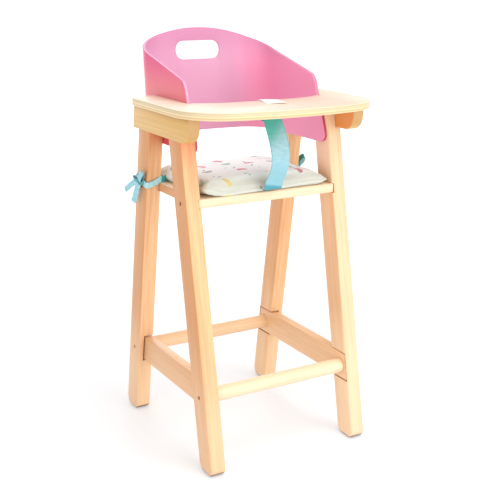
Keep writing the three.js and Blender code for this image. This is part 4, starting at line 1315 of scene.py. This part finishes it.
def fill_with_pressure(obj):
    """Swells a closed cloth by pressure; no point moves further than the cap."""
    before = points_of(obj).copy()
    settings = obj.modifiers.new("filling", "CLOTH").settings
    settings.quality = 6
    settings.use_pressure = True
    settings.uniform_pressure_force = FILL_PRESSURE
    settings.effector_weights.gravity = 0
    scene = bpy.context.scene
    for moment in range(1, FILL_FRAMES + 1):
        scene.frame_set(moment)
    settle(obj)
    scene.frame_set(1)
    moved = points_of(obj) - before
    length = np.linalg.norm(moved, axis=1, keepdims=True)
    moved *= np.minimum(1, FILL_CAP * MM / np.maximum(length, 1e-9))
    move_points(obj, before + moved)
    return float(length.max() / MM)


print("Furthest push of the filling:", round(fill_with_pressure(cushion), 1), "mm, kept to", FILL_CAP)

# %% [markdown]
# On the seat the cushion's underside is pressed flat. Its front left corner is lifted a little, its
# right side is thinner, and between them the front hangs over the seat's edge.

# %% Lay the cushion on the seat
PAD_X, PAD_Y = (-97.0, 96.5), (-72.5, 80.0)
LEFT_LIFT, RIGHT_LIFT, RIGHT_THIN, HANG, BULGE = 4.6, 1.0, 3.2, 4.4, 1.6


def smooth_step(value, low, high):
    """Rises from 0 at low to 1 at high with smooth ends."""
    share = np.clip((value - low) / (high - low), 0, 1)
    return share * share * (3 - 2 * share)


x, y, z = (points_of(cushion).astype(float) / MM).T
x = np.interp(x, [x.min(), x.max()], PAD_X)
y = np.interp(y, [y.min(), y.max()], PAD_Y)
z = np.maximum(z, PAD_SEAT + 0.25)
at_front = smooth_step(-y, 38, 66)
z += LEFT_LIFT * smooth_step(-x, 70, 94) * at_front + RIGHT_LIFT * smooth_step(x, 66, 95) * at_front
z -= RIGHT_THIN * smooth_step(x, 50, 94) * np.clip((z - PAD_SEAM) / 6, 0, 1)
hang = smooth_step(-y, 58, 71) * smooth_step(x, -90, -62) * (1 - smooth_step(x, 20, 90))
z -= HANG * hang * (1 - 0.6 * smooth_step(z, PAD_SEAM + 2, PAD_SEAM + 12))
y -= BULGE * smooth_step(-y, 45, 70) * smooth_step(x, -90, -60) * (1 - smooth_step(x, 0, 60))
move_points(cushion, np.stack([x, y, z], axis=1) * MM)
finer = cushion.modifiers.new("finer", "SUBSURF")
finer.levels = 2
settle(cushion)
print("Cushion is", round(float(np.ptp(z)), 1), "mm high")

# %% [markdown]
# A sewn edge gathers the cloth: small puckers run in from the seam and fade out, and a few long soft
# folds cross the top. They are added along the surface's own normal, and the seam stands out as a
# thin welt. The cloth coordinates lie flat on the top and run on over the edge.

# %% Puckers, folds and seam
PUCKER, FINE_PUCKER, FOLD = 0.9, 0.35, 1.5
PUCKER_WAVES, FINE_WAVES = 0.16, 0.42
WELT, WELT_HALF, GROOVE, GROOVE_AT = 0.75, 0.9, 0.45, 2.2
FREE_FRONT = -66.5
CLOTH_TURN, TURN_SHARE = 12, 0.6

count = len(cushion.data.vertices)
seam = read_vectors(cushion.data.attributes["seam"].data, "vector", count) / MM
normals = read_vectors(cushion.data.vertex_normals, "vector", count)
spots = points_of(cushion).astype(float) / MM
rim_x, rim_y, depth = seam.T
push = np.zeros(count)
for index in range(count):
    into = abs(depth[index])
    pucker = noise.noise(Vector((rim_x[index] * PUCKER_WAVES, rim_y[index] * PUCKER_WAVES, 3.0)))
    fine_pucker = noise.noise(Vector((rim_x[index] * FINE_WAVES, rim_y[index] * FINE_WAVES, 9.0)))
    push[index] = PUCKER * pucker * math.exp(-into / 16) + FINE_PUCKER * fine_pucker * math.exp(-into / 7)
    push[index] *= min(1, into / 2.5)
    px, py = spots[index][:2]
    fold = noise.noise(Vector((px * 0.012 + py * 0.006, py * 0.045 - px * 0.012, 5.0)))
    if depth[index] > 0:
        push[index] += FOLD * fold * min(1, into / 14)
push += WELT * np.exp(-((depth / WELT_HALF) ** 2))
push -= GROOVE * np.exp(-(((np.abs(depth) - GROOVE_AT) / WELT_HALF) ** 2))
push[(spots[:, 2] < PAD_SEAT + 0.8) & (normals[:, 2] < -0.5)] = 0
spots += normals * push[:, None]
on_seat = spots[:, 1] > FREE_FRONT
spots[on_seat, 2] = np.maximum(spots[on_seat, 2], PAD_SEAT)
move_points(cushion, spots * MM)

drop = np.maximum(0, CLOTH_TURN - np.abs(depth)) * np.where(depth >= 0, 1, -1)
outward = np.stack([rim_x, rim_y - PAD_MIDDLE_Y], axis=1)
outward /= np.linalg.norm(outward, axis=1, keepdims=True)
cloth_place = spots[:, :2] + outward * drop[:, None] * TURN_SHARE
write_vectors(cushion, "cloth", np.column_stack([cloth_place, np.zeros(count)]) * MM)
dress(cushion, cotton, "printed_cotton", "seat_cushion", smooth=80)
print("Cushion spans", [round(float(v), 1) for v in (*spots.min(axis=0), *spots.max(axis=0))])

# %% [markdown]
# ## Bands of webbing and ribbon
# A curve with a bevel could make a band, but it can't be told which way its width lies. So a band
# here follows a smooth path, and at each of the given points a second direction says how it is
# turned. The section has thin rounded edges and may curl slightly.

# %% Band helper


def through_points(points, count):
    """A smooth cubic curve through the given points, evenly sampled, and its length."""
    chain = [Vector(p) for p in points]
    chain = [chain[0] * 2 - chain[1], *chain, chain[-1] * 2 - chain[-2]]
    fine = []
    for a, b, c, d in zip(chain, chain[1:], chain[2:], chain[3:]):
        for step in range(12):
            t = step / 12
            fine.append(0.5 * ((2 * b) + (c - a) * t + (2 * a - 5 * b + 4 * c - d) * t * t
                               + (3 * b - a - 3 * c + d) * t**3))
    fine.append(chain[-2])
    flat = np.array([tuple(p) for p in fine])
    lengths = np.concatenate([[0], np.cumsum(np.linalg.norm(np.diff(flat, axis=0), axis=1))])
    even = np.linspace(0, lengths[-1], count)
    rows = np.array([np.interp(even, lengths, flat[:, k]) for k in range(3)]).T
    return [Vector(row) for row in rows], lengths[-1]


SECTION = [(-1, 0), (-0.97, 1), (-0.6, 1), (-0.2, 1), (0.2, 1), (0.6, 1), (0.97, 1),
           (1, 0), (0.97, -1), (0.6, -1), (0.2, -1), (-0.2, -1), (-0.6, -1), (-0.97, -1)]


def band(name, points, sides, width, thick, count, curl=0.0, widths=None):
    """A flat band along a path. sides are the width's directions at the given points, and widths its
    shares of the full width there."""
    path, length = through_points(points, count)
    marks = np.linspace(0, 1, len(sides))
    made = bmesh.new()
    store = made.verts.layers.float_vector.new("cloth")
    rings = []
    for k, centre in enumerate(path):
        share = k / (count - 1)
        ahead = (path[min(k + 1, count - 1)] - path[max(k - 1, 0)]).normalized()
        side = Vector([np.interp(share, marks, [s[a] for s in sides]) for a in range(3)])
        side = (side - ahead * side.dot(ahead)).normalized()
        face = ahead.cross(side)
        half = width / 2 * float(np.interp(share, marks, widths or [1] * len(sides)))
        ring = []
        for across, layer in SECTION:
            spot = centre + side * across * half + face * (layer * thick / 2 + curl * across * across)
            vertex = made.verts.new(spot * MM)
            vertex[store] = Vector((length * share, across * half, layer)) * MM
            ring.append(vertex)
        rings.append(ring)
    for first, second in zip(rings, rings[1:]):
        for k in range(len(SECTION)):
            made.faces.new([first[k - 1], first[k], second[k], second[k - 1]])
    made.faces.new(rings[0])
    made.faces.new(rings[-1][::-1])
    return from_bmesh(name, made)


print("Band helper ready")

# %% [markdown]
# ## Crotch strap
# The strap leaves the tray's belly edge, bows forward and is sewn to the cushion's front seam. Its
# first centimetres under the tray carry painted shade. Its last few millimetres are folded under, and
# the dark crease there is painted shade as well as the fold's own shade. A white tab lies on the tray.
# Its bow is given as shares of the way down, so that it keeps its shape if an end is moved.

# %% Strap
STRAP_WIDE, STRAP_THICK, STRAP_STEPS = 27, 1.4, 72
# Y and Z of the upper and lower end
STRAP_TOP, STRAP_END = (-49.7, TRAY_UNDER - 1.2), (-77.5, 365.0)
BOW_REACH = 14.5
# Share of the way down, share of the bow, and X
BOW = [(0, 0, 8.8), (0.17, 0.3, 10.4), (0.34, 0.63, 11.0), (0.5, 0.98, 9.6), (0.65, 1, 8.0), (0.8, 0.62, 5.6),
       (0.92, 0.2, 1.8), (1, 0, 0.2)]
BOW_WIDTHS = [1, 1.03, 1.07, 1.08, 1.07, 1.05, 0.99, 0.98, 0.98, 0.98]
points = []
for share, bow, x in BOW:
    y = STRAP_TOP[0] + (STRAP_END[0] - STRAP_TOP[0]) * share - BOW_REACH * bow
    points.append((x, y, STRAP_TOP[1] + (STRAP_END[1] - STRAP_TOP[1]) * share))
points += [(0.0, -76.6, 362.6), (0.0, -73.4, 362.6)]
strap = band("strap_webbing", points, [(1, 0, 0.02)] * len(points), STRAP_WIDE, STRAP_THICK, STRAP_STEPS,
             0.5, BOW_WIDTHS)
dress(strap, webbing, "aqua_webbing", "crotch_strap", smooth=50)
print("Strap is", round(through_points(points, STRAP_STEPS)[1]), "mm long")

# %% Strap's turn and tab
points = [(7.2, BELLY + 1.0, TRAY_UNDER + 2), (7.6, BELLY + 0.6, TRAY_UNDER - 4), (8.0, -52.0, 455),
          (8.2, -54.6, 449)]
turn = band("strap_turn", points, [(1, -0.02, 0)] * 4, STRAP_WIDE, 1.2, 20, 0.3)
dress(turn, webbing, "aqua_webbing", "strap_tape", smooth=50)

points = [(-1, -85, TRAY_TOP + 1.2), (0.2, -81, TRAY_TOP + 0.8), (3, -70, TRAY_TOP + 0.7),
          (6.4, -56, TRAY_TOP + 0.8), (7.6, BELLY - 1.2, TRAY_TOP + 0.7), (8.0, BELLY + 0.9, TRAY_TOP - 0.6),
          (8.2, BELLY + 1.1, TRAY_TOP - 4), (8.4, BELLY + 1.0, TRAY_UNDER + 1.4)]
tab_sides = [(1, -0.2, 0.03)] * 3 + [(1, -0.2, -0.03)] * 5
tab = band("strap_tab", points, tab_sides, STRAP_WIDE - 1, 1.0, 44, 0.2)
dress(tab, tape, "white_tape", "strap_tape", smooth=50)
print("Tab runs", round(through_points(points, 44)[1]), "mm over the tray's edge")

# %% [markdown]
# ## Ties
# Each rear corner of the cushion has a ribbon. One end passes in front of the rear leg and the other
# behind it, and they are tied in a small bow on the outside. The ribbon is pulled down a little
# towards the knot. Cloth simulation seldom ties a bow well, so each loop and tail is a band.

# %% Paths of the ties
TIE_Z = 362.2
RIBBON_WIDE, RIBBON_THICK, BOW_THICK = 8.6, 0.8, 0.7
KNOT_X = 127.6
face = leg_face("rear", TIE_Z)
outer, inner, front, back = LEG_OUT + 1.0, LEG_IN - 1.0, face - 1.0, rear_leg(TIE_Z) + 1.0
RING = [(inner, face + 15, TIE_Z), (inner, front + 3, TIE_Z), (inner + 0.9, front + 0.9, TIE_Z),
        (inner + 3, front, TIE_Z), (inner + 10, front, TIE_Z - 3.6), (LEG_OUT - 3, front + 0.3, TIE_Z - 6.6),
        (outer - 0.8, front + 1.1, TIE_Z - 6.8), (outer, front + 3.5, TIE_Z - 6.4),
        (outer + 0.4, face + 12, TIE_Z - 3.4), (outer, back - 3, TIE_Z - 0.8),
        (outer - 0.9, back - 0.9, TIE_Z - 0.6), (outer - 3, back, TIE_Z - 0.5), (inner + 3, back, TIE_Z),
        (inner + 0.9, back - 0.9, TIE_Z), (inner, back - 3, TIE_Z), (inner, face + 15, TIE_Z)]
RUN = [(inner + 0.6, front + 0.8, TIE_Z), (inner - 1.2, front - 0.4, TIE_Z + 0.1),
       (inner - 3.4, front - 0.4, TIE_Z + 0.4), (inner - 5.4, front + 0.8, TIE_Z + 1.0),
       (inner - 7.0, front + 3.0, TIE_Z + 1.8)]
# Each part of the bow: its path from the knot, and the directions of its width
BOW_PARTS = {
    "loop_up": ([(0.5, 0, 0.5), (-1.2, -4, 7), (0.4, -9.5, 13.2), (2.8, -12.5, 15.6), (4.6, -11, 12.6),
                 (4.8, -5.5, 6.5), (2.6, 0, 1)], [(0.1, 0.8, 0.5)] * 7),
    "loop_back": ([(1, 0, 0), (1.6, 4.0, 2.4), (3.0, 8.0, 4.2), (5.2, 10.2, 4.6), (6.4, 8.4, 2.8),
                   (5.4, 4.2, 1.0), (2.6, 0, 0)], [(0.25, -0.45, 0.85)] * 7),
    "tail_back": ([(1.5, 0, 0), (5.6, 5.5, -0.8), (8.6, 12.5, -5.2), (10.2, 20, -10.4), (11.4, 27.5, -15.2)],
                  [(0.1, 0.5, 0.85), (0.1, 0.5, 0.85), (0.05, 0.55, 0.8), (0, 0.6, 0.8), (0, 0.6, 0.8)]),
    "tail_down": ([(1.5, 0, -0.5), (4.0, 2.2, -7), (4.6, 6, -15), (4.4, 10.5, -23), (4.8, 15.5, -31)],
                  [(0.2, 0.9, 0.3), (0.3, 0.9, 0.3), (0.45, 0.85, 0.3), (0.5, 0.8, 0.3), (0.5, 0.8, 0.3)]),
}
print("Ribbon round a leg has", len(RING), "points")

# %% Ribbon ties


def mirrored(path, side, origin=(0, 0, 0)):
    """The same path on the right, side 1, or on the left, side -1, from an origin."""
    return [Vector(origin) + Vector((side * a, b, c)) for a, b, c in path]


for side, side_name in reversed(SIDES):
    around, bow = f"tie_band_{side_name}", f"tie_bow_{side_name}"
    loop = band(f"tie_{side_name}_band", mirrored(RING, side), [(0, -REAR_SLANT / TRAY_UNDER, 1)] * len(RING),
                RIBBON_WIDE, RIBBON_THICK, 150)
    dress(loop, ribbon, "aqua_ribbon", around, smooth=50)
    run = band(f"tie_{side_name}_run", mirrored(RUN, side), [(0, 0.05, 1)] * 5, RIBBON_WIDE, RIBBON_THICK, 26)
    dress(run, ribbon, "aqua_ribbon", around, smooth=50)

    knot = (side * KNOT_X, face + 10.5, TIE_Z - 3.0)
    turns = [math.tau * step / 12 for step in range(13)]
    ring = mirrored([(3.0 * math.cos(a), 1.2 * math.sin(a), 4.4 * math.sin(a)) for a in turns], side, knot)
    wrap = band(f"tie_{side_name}_knot", ring, [(0, 1, -0.35)] * 13, 6.2, 1.5, 40, -0.6)
    dress(wrap, ribbon, "aqua_ribbon", bow, smooth=50)
    for part, (path, across) in BOW_PARTS.items():
        piece = band(f"tie_{side_name}_{part}", mirrored(path, side, knot), mirrored(across, side),
                     RIBBON_WIDE, BOW_THICK, 30, 0.35)
        dress(piece, ribbon if side > 0 else bow_ribbon, "aqua_ribbon", bow, smooth=50)
print("Ties made;", len(pieces), "pieces in all")

# %% [markdown]
# ## Light and floor
# A pale floor runs out of sight in all directions. A curved backdrop would show its edge from some
# sides, and a flat floor doesn't. One broad light hangs above the front and right, one stands in
# front, one behind and a weak one on the left, and the white world fills the shadows, as in a product
# studio. The floor glows a little, more so further off, so that it fades into the background.

# %% Floor
FLOOR_HALF = 60
floor_mesh = bmesh.new()
bmesh.ops.create_grid(floor_mesh, x_segments=1, y_segments=1, size=FLOOR_HALF)
floor = from_bmesh("floor", floor_mesh)
material, tree, shader = new_material("studio_floor", Roughness=0.7, Emission_Strength=1.0)
where = geometry(tree, "Position")
from_chair = vector_calc(tree, "LENGTH", where, output="Value")
glow = blend_colour(tree, ramp(tree, from_chair, 0.4, 1.6), (0.336, 0.335, 0.337, 1), (0.66, 0.66, 0.66, 1))
patchy = noise_of(tree, where, (3, 3, 3), 2.0)
feed(tree, shader["Base Color"], blend_colour(tree, patchy, (0.59, 0.6, 0.62, 1), (0.61, 0.62, 0.635, 1)))
feed(tree, shader["Emission Color"], glow)
floor.data.materials.append(material)
print("Floor is", 2 * FLOOR_HALF, "m wide")

# %% World and lights
WORLD_LIGHT = 0.7
world = bpy.data.worlds.new("studio")
world.use_nodes = True
background = world.node_tree.nodes["Background"].inputs
background[0].default_value = (1, 1, 1, 1)
background[1].default_value = WORLD_LIGHT
bpy.context.scene.world = world

# Place, target, size in metres and power in watts
LIGHTS = {
    "top_softbox": ((0.35, -0.75, 2.1), (0, 0, 0.3), 1.5, 22),
    "front_softbox": ((0.75, -2.5, 1.0), (0, 0, 0.35), 2.0, 28),
    "back_softbox": ((0.3, 2.6, 1.2), (0, 0, 0.3), 2.4, 26),
    "left_fill": ((-2.2, -1.0, 0.8), (0, 0, 0.4), 1.6, 12),
}
for name, (place, target, size, power) in LIGHTS.items():
    lamp = bpy.data.lights.new(name, "AREA")
    lamp.shape = "SQUARE"
    lamp.size = size
    lamp.energy = power
    light = link(name, lamp)
    light.location = place
    light.rotation_euler = (Vector(target) - Vector(place)).to_track_quat("-Z", "Y").to_euler()
bpy.context.scene.view_settings.view_transform = "Standard"
print(len(LIGHTS), "lights placed")
